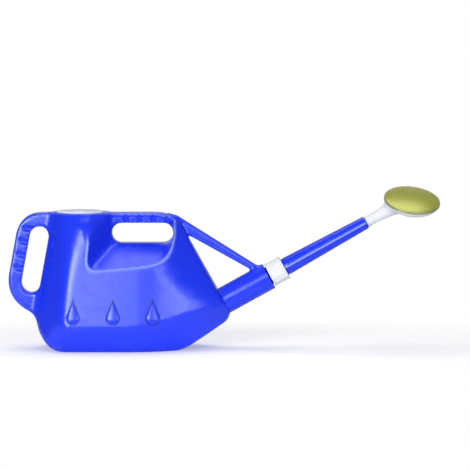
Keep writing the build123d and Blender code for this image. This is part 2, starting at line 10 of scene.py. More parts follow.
import bmesh
import bpy
import numpy as np
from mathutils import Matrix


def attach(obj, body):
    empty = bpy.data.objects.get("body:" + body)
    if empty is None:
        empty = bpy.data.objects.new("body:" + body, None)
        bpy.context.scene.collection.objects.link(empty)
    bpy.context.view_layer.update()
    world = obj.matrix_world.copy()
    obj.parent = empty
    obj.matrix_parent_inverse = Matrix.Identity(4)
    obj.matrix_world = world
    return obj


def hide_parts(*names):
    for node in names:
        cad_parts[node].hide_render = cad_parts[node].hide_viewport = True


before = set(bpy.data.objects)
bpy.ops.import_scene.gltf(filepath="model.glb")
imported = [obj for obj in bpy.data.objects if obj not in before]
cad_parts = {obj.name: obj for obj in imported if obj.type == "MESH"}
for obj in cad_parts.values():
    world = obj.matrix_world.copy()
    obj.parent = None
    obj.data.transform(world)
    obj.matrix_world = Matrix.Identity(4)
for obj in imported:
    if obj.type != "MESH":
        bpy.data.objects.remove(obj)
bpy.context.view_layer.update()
MM = 0.001

# %% [markdown]
# ## Camera
# The photograph looks straight at the side of the can, from a little above, with a long lens. A point
# of the middle plane moves by one pixel for every 1.7 mm, so the lens follows from the distance.

# %% Camera
VIEW_DISTANCE = 4.5
VIEW_DROP = math.radians(5.0)
MM_PER_PIXEL = 1.7
FRAME_PIXELS = 470
aim = (0.1944, 0.0, 0.1932)

camera_data = bpy.data.cameras.new("side_camera")
camera_data.sensor_width = 36.0
camera_data.lens = VIEW_DISTANCE / (MM_PER_PIXEL * MM) / FRAME_PIXELS * camera_data.sensor_width
camera_data.clip_end = 60.0
camera = bpy.data.objects.new("side_camera", camera_data)
bpy.context.scene.collection.objects.link(camera)
camera.location = (
    aim[0],
    -VIEW_DISTANCE * math.cos(VIEW_DROP),
    aim[2] + VIEW_DISTANCE * math.sin(VIEW_DROP),
)
camera.rotation_euler = (math.radians(90.0) - VIEW_DROP, 0.0, 0.0)
bpy.context.scene.camera = camera
print("lens", round(camera_data.lens, 1), "mm")

# %% [markdown]
# ## Floor
# The can stands on a plain white sheet that takes its shadow and melts into the background with distance.
# A large curved sweep would do the same, but its shade is hard to steer. A flat sheet that turns clear with
# distance and glows a little to the camera only looks white and puts no more light on the can.

# %% Helpers for nodes and meshes
def shader_node(nodes, kind, values=None, **settings):
    """A shader node with its settings and its loose inputs filled in."""
    node = nodes.new("ShaderNode" + kind)
    for name, value in settings.items():
        setattr(node, name, value)
    for socket, value in (values or {}).items():
        node.inputs[socket].default_value = value
    return node


def wire(links, *rows):
    """Link sockets. Each row is a node, its output, the next node and its input."""
    for source, output, target, entry in rows:
        links.new(source.outputs[output], target.inputs[entry])


def new_material(name):
    """A material with an empty node tree and its output."""
    material = bpy.data.materials.new(name)
    material.use_nodes = True
    tree = material.node_tree
    tree.nodes.clear()
    return material, tree.nodes, tree.links, tree.nodes.new("ShaderNodeOutputMaterial")


def link_mesh(name, vertices, faces, rounded=True):
    """A mesh object in the scene, from plain lists."""
    mesh = bpy.data.meshes.new(name)
    mesh.from_pydata([tuple(v) for v in vertices], [], [tuple(f) for f in faces])
    mesh.update()
    mesh.polygons.foreach_set("use_smooth", [rounded] * len(mesh.polygons))
    piece = bpy.data.objects.new(name, mesh)
    bpy.context.scene.collection.objects.link(piece)
    return piece


# %% Floor
FLOOR_GLOW = 0.30
bpy.context.scene.view_settings.view_transform = "Standard"
floor_mat, nodes, links, out = new_material("white_sweep")
sheet = shader_node(nodes, "BsdfDiffuse", {"Color": (0.93, 0.93, 0.94, 1.0)})
clear = shader_node(nodes, "BsdfTransparent")
place = shader_node(nodes, "TexCoord")
spread = shader_node(nodes, "Mapping", {"Location": (-0.11, 0.0, 0.0), "Scale": (0.75, 2.0, 1.0)})
reach = shader_node(nodes, "VectorMath", operation="LENGTH")
limits = {"From Min": 0.36, "From Max": 0.85}
fade = shader_node(nodes, "MapRange", limits, interpolation_type="SMOOTHSTEP")
melt = shader_node(nodes, "MixShader")
paths = shader_node(nodes, "LightPath")
level = shader_node(nodes, "Math", {1: FLOOR_GLOW}, operation="MULTIPLY")
glow = shader_node(nodes, "Emission")
glowing = shader_node(nodes, "AddShader")
wire(
    links,
    (place, "Object", spread, "Vector"),
    (spread, "Vector", reach, 0),
    (reach, "Value", fade, "Value"),
    (fade, "Result", melt, "Fac"),
    (paths, "Is Camera Ray", level, 0),
    (level, 0, glow, "Strength"),
    (sheet, 0, glowing, 0),
    (glow, 0, glowing, 1),
    (glowing, 0, melt, 1),
    (clear, 0, melt, 2),
    (melt, 0, out, "Surface"),
)
corners = [(-2, -2.4, 0), (2.4, -2.4, 0), (2.4, 2.4, 0), (-2, 2.4, 0)]
floor = link_mesh("floor", corners, [(0, 1, 2, 3)], rounded=False)
floor.data.materials.append(floor_mat)
print("floor:", len(nodes), "nodes")

# %% [markdown]
# ## World and lamps
# The world is white to the camera and only a weak fill to everything else. Glossy rays see a backdrop that
# brightens towards the back, which gives the upper edges their pale line. Five soft boxes in front draw the
# long highlights on the facets, one hangs overhead and a weak one stands behind. Several boxes, not one big
# one, let every facet have its own brightness.

# %% World
world = bpy.data.worlds.new("studio")
bpy.context.scene.world = world
world.use_nodes = True
nodes = world.node_tree.nodes
nodes.clear()
white = shader_node(nodes, "Background", {"Color": (1.0, 1.0, 1.0, 1.0)})
fill = shader_node(nodes, "Background", {"Color": (0.96, 0.98, 1.0, 1.0), "Strength": 0.15})
backdrop = shader_node(nodes, "Background")
paths = shader_node(nodes, "LightPath")
outlook = shader_node(nodes, "TexCoord")
parts = shader_node(nodes, "SeparateXYZ")
limits = {"From Min": 0.40, "From Max": 0.95, "To Min": 0.15, "To Max": 0.60}
behind = shader_node(nodes, "MapRange", limits, interpolation_type="SMOOTHSTEP")
sheen = shader_node(nodes, "MixShader")
pick = shader_node(nodes, "MixShader")
out = shader_node(nodes, "OutputWorld")
wire(
    world.node_tree.links,
    (paths, "Is Camera Ray", pick, "Fac"),
    (outlook, "Generated", parts, 0),
    (parts, "Y", behind, "Value"),
    (behind, "Result", backdrop, "Strength"),
    (paths, "Is Glossy Ray", sheen, "Fac"),
    (fill, 0, sheen, 1),
    (backdrop, 0, sheen, 2),
    (sheen, 0, pick, 1),
    (white, 0, pick, 2),
    (pick, 0, out, "Surface"),
)
print("world:", len(nodes), "nodes")


# %% Lamps
def soft_lamp(name, place, target, size, power):
    """A soft box, a rectangular area lamp that faces a target."""
    data = bpy.data.lights.new(name, "AREA")
    data.shape = "RECTANGLE"
    data.size = size[0]
    data.size_y = size[1]
    data.energy = power
    lamp = bpy.data.objects.new(name, data)
    bpy.context.scene.collection.objects.link(lamp)
    lamp.location = place
    away = np.array(place) - np.array(target)
    pan = math.atan2(away[0], -away[1])
    tilt = math.atan2(math.hypot(away[0], away[1]), away[2])
    lamp.rotation_euler = (tilt, 0.0, pan)


LAMPS = (
    ("front_box", (-0.42, -1.90, 0.46), (0.0, 0.0, 0.12), (0.66, 0.80), 10.5),
    ("mid_box", (0.35, -1.90, 0.46), (0.1, 0.0, 0.12), (0.66, 0.80), 2.4),
    ("left_box", (-0.95, -1.75, 0.45), (-0.05, 0.0, 0.12), (0.60, 0.90), 21.0),
    ("top_box", (0.15, 0.30, 2.40), (0.15, 0.0, 0.10), (2.00, 1.60), 25.0),
    ("right_box", (1.16, -1.66, 0.42), (0.15, 0.0, 0.12), (0.96, 0.70), 9.0),
    ("wedge_box", (1.62, -1.38, 0.34), (0.15, 0.0, 0.12), (0.50, 0.50), 3.2),
    ("rear_box", (0.20, 2.00, 0.80), (0.15, 0.0, 0.12), (1.60, 1.00), 1.5),
)
for lamp_row in LAMPS:
    soft_lamp(*lamp_row)

# %% [markdown]
# ## Sizes of the tank
# These are the sizes in millimetres, under the names that the solid model uses. Most are the solid's own, and
# a few follow the moulded skin more closely, such as the rear wall, the crease and the hand openings.

# %% Tank sizes
DECK = 233.0
HALF_BASE = 104.0
BASE_HALF_WIDTH = 68.0
CREASE_HEIGHT = 41.0
CREASE_HALF_WIDTH = 86.0
DECK_HALF_WIDTH = 62.0
REAR_LEAN = math.radians(10.5)
REAR_TOP_X = -110.6
REAR_EDGE = 20.0
REAR_TAPER_LOW = 53.0
REAR_TAPER_HIGH = 27.0
KNEE_HEIGHT = 56.0
KNEE_SWELL = 5.6
KNEE_BULGE = 9.0
FRONT_RIDGE_X = 66.0
CREASE_BEND_X = 36.0
CREASE_CLIMB = 0.29
CREASE_TUCK = (CREASE_HALF_WIDTH - BASE_HALF_WIDTH) / CREASE_HEIGHT
FRONT_HALF = 28.0
FRONT_NARROWING = 9.0
WEDGE_TURN = 0.40
CHEEK_TURN = 0.835
CHEEK_SLOPE = 1.38
SPOUT_ANGLE = math.radians(29.0)
NECK_X = 175.5
NECK_Z = 81.0
NECK_ROOT = -16.0
NECK_LENGTH = 86.0
NECK_END = NECK_LENGTH + 1.4
NECK_RADIUS = 23.3
NOSE_TUCK = 12.0
GRIP_DEPTH = 18.5
GRIP_HALF = 14.0
RIM_STEP = 1.3
RIM_WIDTH = 4.6
SLOT_START = -14.5
SLOT_LENGTH = 104.0
SLOT_HEIGHT = 33.5
SLOT_FLOOR = DECK - GRIP_DEPTH - SLOT_HEIGHT
POCKET_FALL_REAR = 44.0
POCKET_FALL_FRONT = 31.0
POCKET_FALL_MEAN = 38.0
POCKET_SET_BACK = 41.0
POCKET_SET_FORWARD = 6.0
POCKET_LIP = 74.0
REAR_SLOT_LENGTH = 114.0
REAR_SLOT_WIDTH = 36.0
REAR_SLOT_HEIGHT = 152.0
REAR_BAR = 22.5
CAP_RECESS = 4.0
RECESS_RADIUS = 40.6
MOUTH_X = -68.5
COS_DRAFT = math.cos(math.atan((CREASE_HALF_WIDTH - DECK_HALF_WIDTH) / (DECK - CREASE_HEIGHT)))
COS_A = math.cos(SPOUT_ANGLE)
SIN_A = math.sin(SPOUT_ANGLE)
COS_LEAN = math.cos(REAR_LEAN)
SIN_LEAN = math.sin(REAR_LEAN)


def rear_x(z):
    """The leaning rear wall at a height."""
    return REAR_TOP_X - (DECK - z) * math.tan(REAR_LEAN)


def front_x(z):
    """The front wall, square to the spout line, at a height."""
    return NECK_X - (z - NECK_Z) * math.tan(SPOUT_ANGLE)


def side_half(z):
    """Half the width between the flat sides at a height."""
    return DECK_HALF_WIDTH + (CREASE_HALF_WIDTH - DECK_HALF_WIDTH) * (DECK - z) / (DECK - CREASE_HEIGHT)


def on_spout(distance, offset):
    """A point of the middle plane beside the spout line."""
    return (
        NECK_X + distance * COS_A - offset * SIN_A,
        NECK_Z + distance * SIN_A + offset * COS_A,
    )


def along_spout(x, z):
    """Distance along the spout line, and height above it, of a point of the middle plane."""
    run = x - NECK_X
    rise = z - NECK_Z
    return run * COS_A + rise * SIN_A, rise * COS_A - run * SIN_A


print("slot floor", SLOT_FLOOR, "front wall at the deck", round(front_x(DECK), 1))

# %% [markdown]
# ## The tank as a field
# A blow-moulded tank has no sharp edge anywhere: one skin runs over the sides, round the pockets, along
# both handles and out to the neck, with a soft blend at every meeting. Bevels on a faceted mesh would
# break down where four of these blends meet. So the tank is written as a field instead, a number at
# every point that is negative inside, and forms are joined with a soft maximum (rounds an outer edge) or
# a soft minimum (fills an inner corner). The size of each blend is then just one number.

# %% Field helpers
def clamp(value):
    """A number, or every number of an array, held between zero and one."""
    return np.clip(value, 0.0, 1.0)


def soft_max(a, b, k):
    """The larger of two fields, with the edge between them rounded over a width k."""
    h = np.maximum(k - np.abs(a - b), 0.0) / k
    return np.maximum(a, b) + h * h * k * 0.25


def soft_min(a, b, k):
    """The smaller of two fields, with the corner between them filled over a width k."""
    h = np.maximum(k - np.abs(a - b), 0.0) / k
    return np.minimum(a, b) - h * h * k * 0.25


def line_field(start, end, x, z):
    """Distance to the right of a line in the middle plane."""
    run = end[0] - start[0]
    rise = end[1] - start[1]
    return (rise * (x - start[0]) - run * (z - start[1])) / math.hypot(run, rise)


def outline_field(points, x, z):
    """Distance to a convex outline in the middle plane, given anticlockwise."""
    field = line_field(points[-1], points[0], x, z)
    for start, end in zip(points, points[1:]):
        field = np.maximum(field, line_field(start, end, x, z))
    return field


def stadium_field(centre, lean, half_length, x, z):
    """Distance to the middle line of a slot that leans from upright."""
    along = (x - centre[0]) * math.sin(lean) + (z - centre[1]) * math.cos(lean)
    across = (x - centre[0]) * math.cos(lean) - (z - centre[1]) * math.sin(lean)
    return np.hypot(across, np.maximum(np.abs(along) - half_length, 0.0))


# %% Main form of the tank
KNEE_A = (rear_x(KNEE_HEIGHT), KNEE_HEIGHT)
KNEE_B = (-HALF_BASE, 0.0)
chord = math.hypot(KNEE_B[0] - KNEE_A[0], KNEE_B[1] - KNEE_A[1])
KNEE_R = chord * chord / (8 * KNEE_BULGE) + KNEE_BULGE / 2
chord_x = (KNEE_B[0] - KNEE_A[0]) / chord
chord_z = (KNEE_B[1] - KNEE_A[1]) / chord
KNEE_C = (
    (KNEE_A[0] + KNEE_B[0]) / 2 - chord_z * (KNEE_R - KNEE_BULGE),
    (KNEE_A[1] + KNEE_B[1]) / 2 + chord_x * (KNEE_R - KNEE_BULGE),
)
NOSE_LOW = on_spout(0.0, -NECK_RADIUS - 0.2)
NOSE_CORNER = (NOSE_LOW[0] - NOSE_TUCK / 2, NOSE_LOW[1] - NOSE_TUCK)


def flank_form(x, s, z):
    """The flat side, and the wedge and the cheek that lead from it to the front wall."""
    half = side_half(z)
    wedge = (s - half + WEDGE_TURN * (x - FRONT_RIDGE_X)) / math.hypot(1.0, WEDGE_TURN)
    form = soft_max((s - half) * COS_DRAFT, wedge, 14.0)
    edge = FRONT_HALF - FRONT_NARROWING * clamp((z - 90.0) / 50.0)
    cheek = (s - edge - CHEEK_TURN * (front_x(z) - x)) / CHEEK_SLOPE
    return soft_max(form, cheek, 16.0)


def width_at(x, z):
    """Half the width of the tank above its crease."""
    width = side_half(z)
    for turn in range(6):
        width = width - flank_form(x, width, z)
    return width


def roof_form(x, z):
    """The deck and the front wall, with the round corner between them."""
    return soft_max(z - DECK, (x - front_x(z)) * COS_A, 30.0)


def tank_form(x, y, z):
    """The tank without its pockets: walls, facets, tucked-in base, deck."""
    s = np.abs(y)
    back = rear_x(z)
    half = side_half(z)
    form = flank_form(x, s, z)
    across = half - REAR_EDGE
    taper = REAR_TAPER_LOW + (REAR_TAPER_HIGH - REAR_TAPER_LOW) * z / DECK
    facet = (across * (back - x) + taper * (s - REAR_EDGE)) / np.hypot(across, taper)
    form = soft_max(form, facet, 12.0 + 40.0 * clamp(z / DECK) ** 4)
    form = soft_max(form, (back - x) * COS_LEAN, 10.0)
    crease = soft_max(CREASE_HEIGHT, CREASE_HEIGHT + CREASE_CLIMB * (x - CREASE_BEND_X), 10.0)
    slant = CREASE_TUCK * (1.0 - 0.7 * clamp((x - 90.0) / 90.0))
    tuck = (s - width_at(x, crease) - slant * (z - crease)) / np.hypot(1.0, slant)
    corner = clamp((-86.0 - x) / 30.0)
    form = soft_max(form, tuck, 4.0 + 26.0 * corner)
    for angle in (196.0, 212.0, 228.0, 242.0):
        c = math.cos(math.radians(angle))
        d = math.sin(math.radians(angle))
        form = soft_max(form, (x - KNEE_C[0]) * c + (z - KNEE_C[1]) * d - KNEE_R - KNEE_SWELL, 12.0)
    form = soft_max(form, line_field((HALF_BASE, 0.0), NOSE_CORNER, x, z), 4.5)
    form = soft_max(form, line_field(NOSE_CORNER, NOSE_LOW, x, z), 3.0)
    form = soft_max(form, -z, 10.0)
    return soft_max(form, roof_form(x, z), 6.0 + 20.0 * clamp((30.0 - x) / 50.0))


print("half width at the crease:", round(float(width_at(0.0, CREASE_HEIGHT)), 1))

# %% [markdown]
# ## Pockets, handles, brace and neck
# The hand pockets are cut from the tank as a second field, with rounds where their floor and walls meet. The
# rear handle is a ring round a slanted slot and the brace is a tapered strut; both melt into the tank with a
# soft minimum. Each finger groove is a scoop that deepens along its run.

# %% Pockets and slots
SLOT_MIDDLE = (SLOT_START + SLOT_LENGTH / 2, SLOT_FLOOR + SLOT_HEIGHT / 2)
REAR_SLOT_X = rear_x(REAR_SLOT_HEIGHT) - REAR_SLOT_WIDTH / 2 / COS_LEAN
REAR_HALF = (REAR_SLOT_LENGTH - REAR_SLOT_WIDTH) / 2


def pocket_form(x, y, z):
    """The recess beside the top grip, on both sides at once."""
    reach = POCKET_LIP - GRIP_HALF
    depth = (np.abs(y) - GRIP_HALF) / reach
    left = SLOT_START - POCKET_SET_BACK * depth
    right = SLOT_START + SLOT_LENGTH + POCKET_SET_FORWARD * depth
    share = np.clip((x - left) / (right - left), -0.3, 1.3)
    fall = POCKET_FALL_REAR + (POCKET_FALL_FRONT - POCKET_FALL_REAR) * share
    floor_side = (SLOT_FLOOR - fall * depth - z) / math.hypot(1.0, POCKET_FALL_MEAN / reach)
    left_side = (left - x) / math.hypot(1.0, POCKET_SET_BACK / reach)
    form = soft_max(floor_side, left_side, 8.0 + 9.0 * clamp((depth - 0.7) / 0.25))
    form = soft_max(form, x - right, 34.0)
    grip = GRIP_HALF - RIM_STEP * clamp((-roof_form(x, z) - RIM_WIDTH) / 1.6)
    return soft_max(form, grip - np.abs(y), 8.0)


print("middle of the top slot:", SLOT_MIDDLE)

# %% Finger grooves
DIP_RADIUS = 7.0
DIP_PITCH = 23.0
DIP_EDGE = 2.0
TOP_DIP_X = SLOT_MIDDLE[0] + 6.8
TOP_DIP_Y = GRIP_HALF - RIM_STEP + DIP_RADIUS
TOP_DIP_RUN = (0.0, -5.5, -16.0)
TOP_DIPS = [(TOP_DIP_X + DIP_PITCH * (i - 1.5), TOP_DIP_Y, DECK - 7.5) for i in range(4)]
REAR_DIP_LINE = REAR_SLOT_WIDTH / 2 + 15.0
REAR_DIP_RISE = 15.8
REAR_DIP_RUN = (20.0 * COS_LEAN, -6.5, -20.0 * SIN_LEAN)
REAR_DIPS = []
for i in range(4):
    rise = REAR_DIP_RISE + DIP_PITCH * (i - 1.5)
    dip_x = REAR_SLOT_X - REAR_DIP_LINE * COS_LEAN + rise * SIN_LEAN
    dip_z = REAR_SLOT_HEIGHT + REAR_DIP_LINE * SIN_LEAN + rise * COS_LEAN
    REAR_DIPS.append((dip_x, GRIP_HALF + DIP_RADIUS, dip_z))


def finger_grooves(form, starts, run, x, y, z):
    """Scooped finger grooves that deepen along their run, mirrored on both sides."""
    s = np.abs(y)
    square = sum(c * c for c in run)
    for cx, cy, cz in starts:
        share = clamp(((x - cx) * run[0] + (s - cy) * run[1] + (z - cz) * run[2]) / square)
        gap = (x - cx - share * run[0]) ** 2 + (s - cy - share * run[1]) ** 2 + (z - cz - share * run[2]) ** 2
        form = soft_max(form, DIP_RADIUS - np.sqrt(gap), DIP_EDGE)
    return form


print("finger grooves on each side:", len(TOP_DIPS) + len(REAR_DIPS))

# %% Handles, brace and neck
BRACE_TOP = DECK - 9.0
BRACE_REACH = 82.5
BRACE_HALF = 8.0
BOSS_RIM = 3.4
BOSS_DEPTH = 24.0
BRACE_LINE = [
    (front_x(BRACE_TOP) - 14.0, BRACE_TOP + 5.8),
    (front_x(BRACE_TOP - 22.4) - 8.0, BRACE_TOP - 22.4),
    on_spout(BRACE_REACH - 13.0, 18.6),
    on_spout(BRACE_REACH, 18.6),
    (front_x(BRACE_TOP), BRACE_TOP + 2.8),
]
OUTER_ROUND = REAR_SLOT_WIDTH / 2 + REAR_BAR
LOOP_TOP = DECK - 0.2
LOOP_FOOT = ((-171.0, 72.5), (-147.0, 58.9))


def loop_form(x, z):
    """The rear handle's outline: upright bar, flat top and slanting foot, with round corners."""
    across = (x - REAR_SLOT_X) * COS_LEAN - (z - REAR_SLOT_HEIGHT) * SIN_LEAN
    form = soft_max(-across - OUTER_ROUND, z - LOOP_TOP, 40.0)
    form = soft_max(form, line_field(LOOP_FOOT[0], LOOP_FOOT[1], x, z), 42.0)
    return soft_max(form, across - REAR_SLOT_WIDTH / 2 - 12.0, 2.0)


def hull_form(x, y, z):
    """The tank with its pockets, whose lips melt away towards the top of the rear wall."""
    melt = clamp((z - 185.0) / 45.0) * clamp((20.0 - x) / 40.0)
    melt = melt * clamp((np.abs(y) - 24.0) / 16.0)
    return soft_max(tank_form(x, y, z), -pocket_form(x, y, z), 4.5 + 22.0 * melt)


def body_form(x, y, z):
    """The whole blue moulding."""
    s = np.abs(y)
    boss = np.maximum(np.hypot(x - MOUTH_X, y) - RECESS_RADIUS - BOSS_RIM, DECK - BOSS_DEPTH - z)
    form = soft_min(hull_form(x, y, z), boss, 12.0)
    slot = stadium_field(SLOT_MIDDLE, math.radians(90.0), (SLOT_LENGTH - SLOT_HEIGHT) / 2, x, z)
    form = soft_max(form, SLOT_HEIGHT / 2 - slot, 5.0)
    form = finger_grooves(form, TOP_DIPS, TOP_DIP_RUN, x, y, z)
    ring = stadium_field((REAR_SLOT_X, REAR_SLOT_HEIGHT), REAR_LEAN, REAR_HALF, x, z)
    loop = soft_max(loop_form(x, z), s - GRIP_HALF, 6.0)
    loop = soft_max(loop, REAR_SLOT_WIDTH / 2 - ring, 6.0)
    loop = finger_grooves(loop, REAR_DIPS, REAR_DIP_RUN, x, y, z)
    form = soft_max(soft_min(form, loop, 14.0), z - DECK, 2.5)
    a, u = along_spout(x, z)
    neck = soft_max(np.hypot(u, y) - NECK_RADIUS, np.maximum(NECK_ROOT - a, a - NECK_LENGTH - 5.0), 2.0)
    form = soft_min(form, neck, 2.5)
    brace = soft_max(outline_field(BRACE_LINE, x, z), s - BRACE_HALF, 6.0)
    return soft_min(form, brace, 6.0)


print("field in the middle of the tank:", round(float(body_form(0.0, 0.0, 80.0)), 1))

# %% [markdown]
# ## From field to mesh
# Surface nets put one vertex into every grid cell that the surface crosses and one face round every grid
# edge that it cuts. The vertices are then slid onto the exact zero of the field, so a coarse grid still
# gives a smooth skin.

# %% Surface nets
def surface_net(form, low, high, step):
    """Vertices and quads of the zero surface of a field inside a box."""
    axes = [np.arange(low[i], high[i] + step, step) for i in range(3)]
    value = form(axes[0][:, None, None], axes[1][None, :, None], axes[2][None, None, :])
    shape = np.array(value.shape) - 1
    total = np.zeros(tuple(shape) + (3,))
    count = np.zeros(tuple(shape))

    def at_corner(i, j, k):
        return value[i : i + shape[0], j : j + shape[1], k : k + shape[2]]

    for d in range(3):
        for pair in np.ndindex(2, 2):
            corner = np.insert(pair, d, 0)
            f0 = at_corner(*corner)
            f1 = at_corner(*np.insert(pair, d, 1))
            cut = (f0 < 0) != (f1 < 0)
            count += cut
            total += corner * cut[..., None]
            total[..., d] += np.where(cut, f0 / np.where(cut, f0 - f1, 1.0), 0.0)
    active = count > 0
    index = np.full(tuple(shape), -1)
    index[active] = np.arange(int(active.sum()))
    points = (np.argwhere(active) + total[active] / count[active][:, None]) * step + np.array(low)
    quads = []
    for d in range(3):
        e, f = [(1, 2), (2, 0), (0, 1)][d]
        inner = [slice(1, shape[i]) for i in range(3)]
        inner[d] = slice(0, shape[d])
        after = list(inner)
        after[d] = slice(1, shape[d] + 1)
        a0 = value[tuple(inner)] < 0
        crossed = a0 != (value[tuple(after)] < 0)
        where = np.argwhere(crossed)
        where[:, [e, f]] += 1
        ring = []
        for back in ((1, 1), (0, 1), (0, 0), (1, 0)):
            at = where.copy()
            at[:, [e, f]] -= back
            ring.append(index[tuple(at.T)])
        ring = np.stack(ring, axis=1)
        entering = ~a0[crossed]
        ring[entering] = ring[entering][:, ::-1]
        quads.append(ring)
    return points, np.concatenate(quads)


# %% Settle and mesh
SETTLE_ROUNDS = 3
PROBE = 0.15


def settle(form, points, quads):
    """Even out the mesh and slide every vertex onto the zero surface."""
    for turn in range(SETTLE_ROUNDS):
        if turn < SETTLE_ROUNDS - 1:
            total = np.zeros_like(points)
            count = np.zeros(len(points))
            for i in range(4):
                np.add.at(total, quads[:, i], points[quads[:, (i + 1) % 4]] + points[quads[:, (i - 1) % 4]])
                np.add.at(count, quads[:, i], 2.0)
            points = points * 0.5 + total / count[:, None] * 0.5
        for newton in range(2):
            value = form(*points.T)
            ways = [form(*(points + h).T) - form(*(points - h).T) for h in PROBE * np.eye(3)]
            slope = np.stack(ways, axis=1) / (2 * PROBE)
            size = np.maximum((slope**2).sum(axis=1), 0.05)
            points = points - slope * np.clip(value / size, -1.5, 1.5)[:, None]
    return points


def field_mesh(name, form, low, high, step):
    """The zero surface of a field in a box, as a mesh object."""
    points, quads = surface_net(form, low, high, step)
    return link_mesh(name, settle(form, points, quads) * MM, quads)


# %% [markdown]
# ## Raised drops
# Three raised drops decorate each side. One drop is drawn as rings that climb from its outline to a spine,
# so its edge stays crisp, which a field on a coarse grid would blur. A small Geometry Nodes tree repeats it
# along the side, and each copy is then laid onto the skin by looking up where the field is zero.

# %% Mesh tools
def join_poles(piece):
    """Merge the points that meet, as on an axis, and turn the faces outwards."""
    work = bmesh.new()
    work.from_mesh(piece.data)
    bmesh.ops.remove_doubles(work, verts=work.verts, dist=2e-6)
    bmesh.ops.recalc_face_normals(work, faces=work.faces)
    work.to_mesh(piece.data)
    work.free()


def bake(piece):
    """Apply the modifiers and keep a plain mesh."""
    graph = bpy.context.evaluated_depsgraph_get()
    mesh = bpy.data.meshes.new_from_object(piece.evaluated_get(graph))
    piece.modifiers.clear()
    old = piece.data
    piece.data = mesh
    bpy.data.meshes.remove(old)


def discard(piece):
    """Delete a piece that has done its work."""
    mesh = piece.data
    bpy.data.objects.remove(piece)
    bpy.data.meshes.remove(mesh)


def smooth(piece, degrees):
    """Shade a piece smoothly, but keep edges sharper than an angle."""
    piece.data.polygons.foreach_set("use_smooth", [True] * len(piece.data.polygons))
    piece.data.set_sharp_from_angle(angle=math.radians(degrees))


def spots(piece):
    """The vertices of a piece in millimetres, as rows of x, y and z."""
    flat = np.empty(len(piece.data.vertices) * 3)
    piece.data.vertices.foreach_get("co", flat)
    return flat.reshape(-1, 3).T / MM


def bands(count, rings, closed=False):
    """Quads between rings of points that follow each other."""
    faces = []
    for k in range(rings if closed else rings - 1):
        n = (k + 1) % rings
        for i in range(count):
            j = (i + 1) % count
            faces.append((k * count + i, k * count + j, n * count + j, n * count + i))
    return faces


# %% One drop
DROP_RADIUS = 11.2
DROP_LENGTH = 40.0
DROP_PITCH = 66.8
DROP_BOTTOM = 49.3
DROP_MIDDLE_X = -10.2
DROP_RELIEF = 3.5
DROP_ROOT = -1.4


def drop_outline(radius, tip):
    """The outline of a drop as (x, z) points, with its bulb at the origin."""
    tangent = math.asin(radius / tip)
    arc = np.linspace(math.pi - tangent, 2 * math.pi + tangent, 33)
    bulb = np.stack([np.cos(arc), np.sin(arc)], axis=1) * radius
    share = np.linspace(0.0, 1.0, 12)[1:, None]
    right = bulb[-1] + (np.array([0.0, tip]) - bulb[-1]) * share
    left = right[-2::-1] * np.array([-1.0, 1.0])
    return np.concatenate([bulb, right, left])


def drop_mesh(name):
    """A drop in the XZ plane, with its height along Y and its bulb at the origin."""
    tip = DROP_LENGTH - DROP_RADIUS
    edge = drop_outline(DROP_RADIUS, tip)
    count = len(edge)
    spine = np.stack([np.zeros(count), np.clip(edge[:, 1], 0.0, tip * 0.92)], axis=1)
    swell = DROP_RELIEF * (np.hypot(*(edge - spine).T) / DROP_RADIUS) ** 0.7
    rings = [np.stack([edge[:, 0], np.full(count, DROP_ROOT), edge[:, 1]], axis=1)]
    for reach in (1.0, 0.985, 0.95, 0.89, 0.8, 0.68, 0.52, 0.34, 0.16, 0.0):
        flat = spine + (edge - spine) * reach
        rings.append(np.stack([flat[:, 0], swell * math.sqrt(1.0 - reach * reach), flat[:, 1]], axis=1))
    faces = [tuple(range(count))] + bands(count, len(rings))
    piece = link_mesh(name, np.concatenate(rings) * MM, faces)
    join_poles(piece)
    return piece


# %% Tree for the row
def new_group(name, kind, inputs, outputs):
    """A node group with named sockets, given as (name, type) pairs."""
    tree = bpy.data.node_groups.new(name, kind)
    for way, sockets in (("INPUT", inputs), ("OUTPUT", outputs)):
        for socket, socket_type in sockets:
            tree.interface.new_socket(socket, in_out=way, socket_type="NodeSocket" + socket_type)
    return tree, tree.nodes.new("NodeGroupInput"), tree.nodes.new("NodeGroupOutput")


def row_tree():
    """Geometry nodes that repeat a piece along X."""
    sockets = (("Geometry", "Geometry"), ("Count", "Int"), ("Pitch", "Float"), ("Skin", "Material"))
    tree, source, result = new_group("drop_row", "GeometryNodeTree", sockets, sockets[:1])
    step = shader_node(tree.nodes, "CombineXYZ")
    kinds = ("MeshLine", "InstanceOnPoints", "RealizeInstances", "SetMaterial")
    line, copies, real, paint = [tree.nodes.new("GeometryNode" + kind) for kind in kinds]
    wire(
        tree.links,
        (source, "Pitch", step, "X"),
        (source, "Count", line, "Count"),
        (step, 0, line, "Offset"),
        (line, "Mesh", copies, "Points"),
        (source, "Geometry", copies, "Instance"),
        (copies, 0, real, 0),
        (real, 0, paint, "Geometry"),
        (source, "Skin", paint, "Material"),
        (paint, 0, result, 0),
    )
    return tree


def set_inputs(modifier, values):
    """Set a tree's named inputs by their socket identifiers."""
    for item in modifier.node_group.interface.items_tree:
        if item.item_type == "SOCKET" and item.in_out == "INPUT" and item.name in values:
            modifier[item.identifier] = values[item.name]


# %% Lay the drops
def wall_half(x, z):
    """Half the width of the moulding at a point of its side, found by halving."""
    inner = np.full(x.shape, 40.0)
    outer = np.full(x.shape, 95.0)
    for turn in range(30):
        middle = (inner + outer) / 2
        inside = tank_form(x, middle, z) < 0
        inner = np.where(inside, middle, inner)
        outer = np.where(inside, outer, middle)
    return (inner + outer) / 2


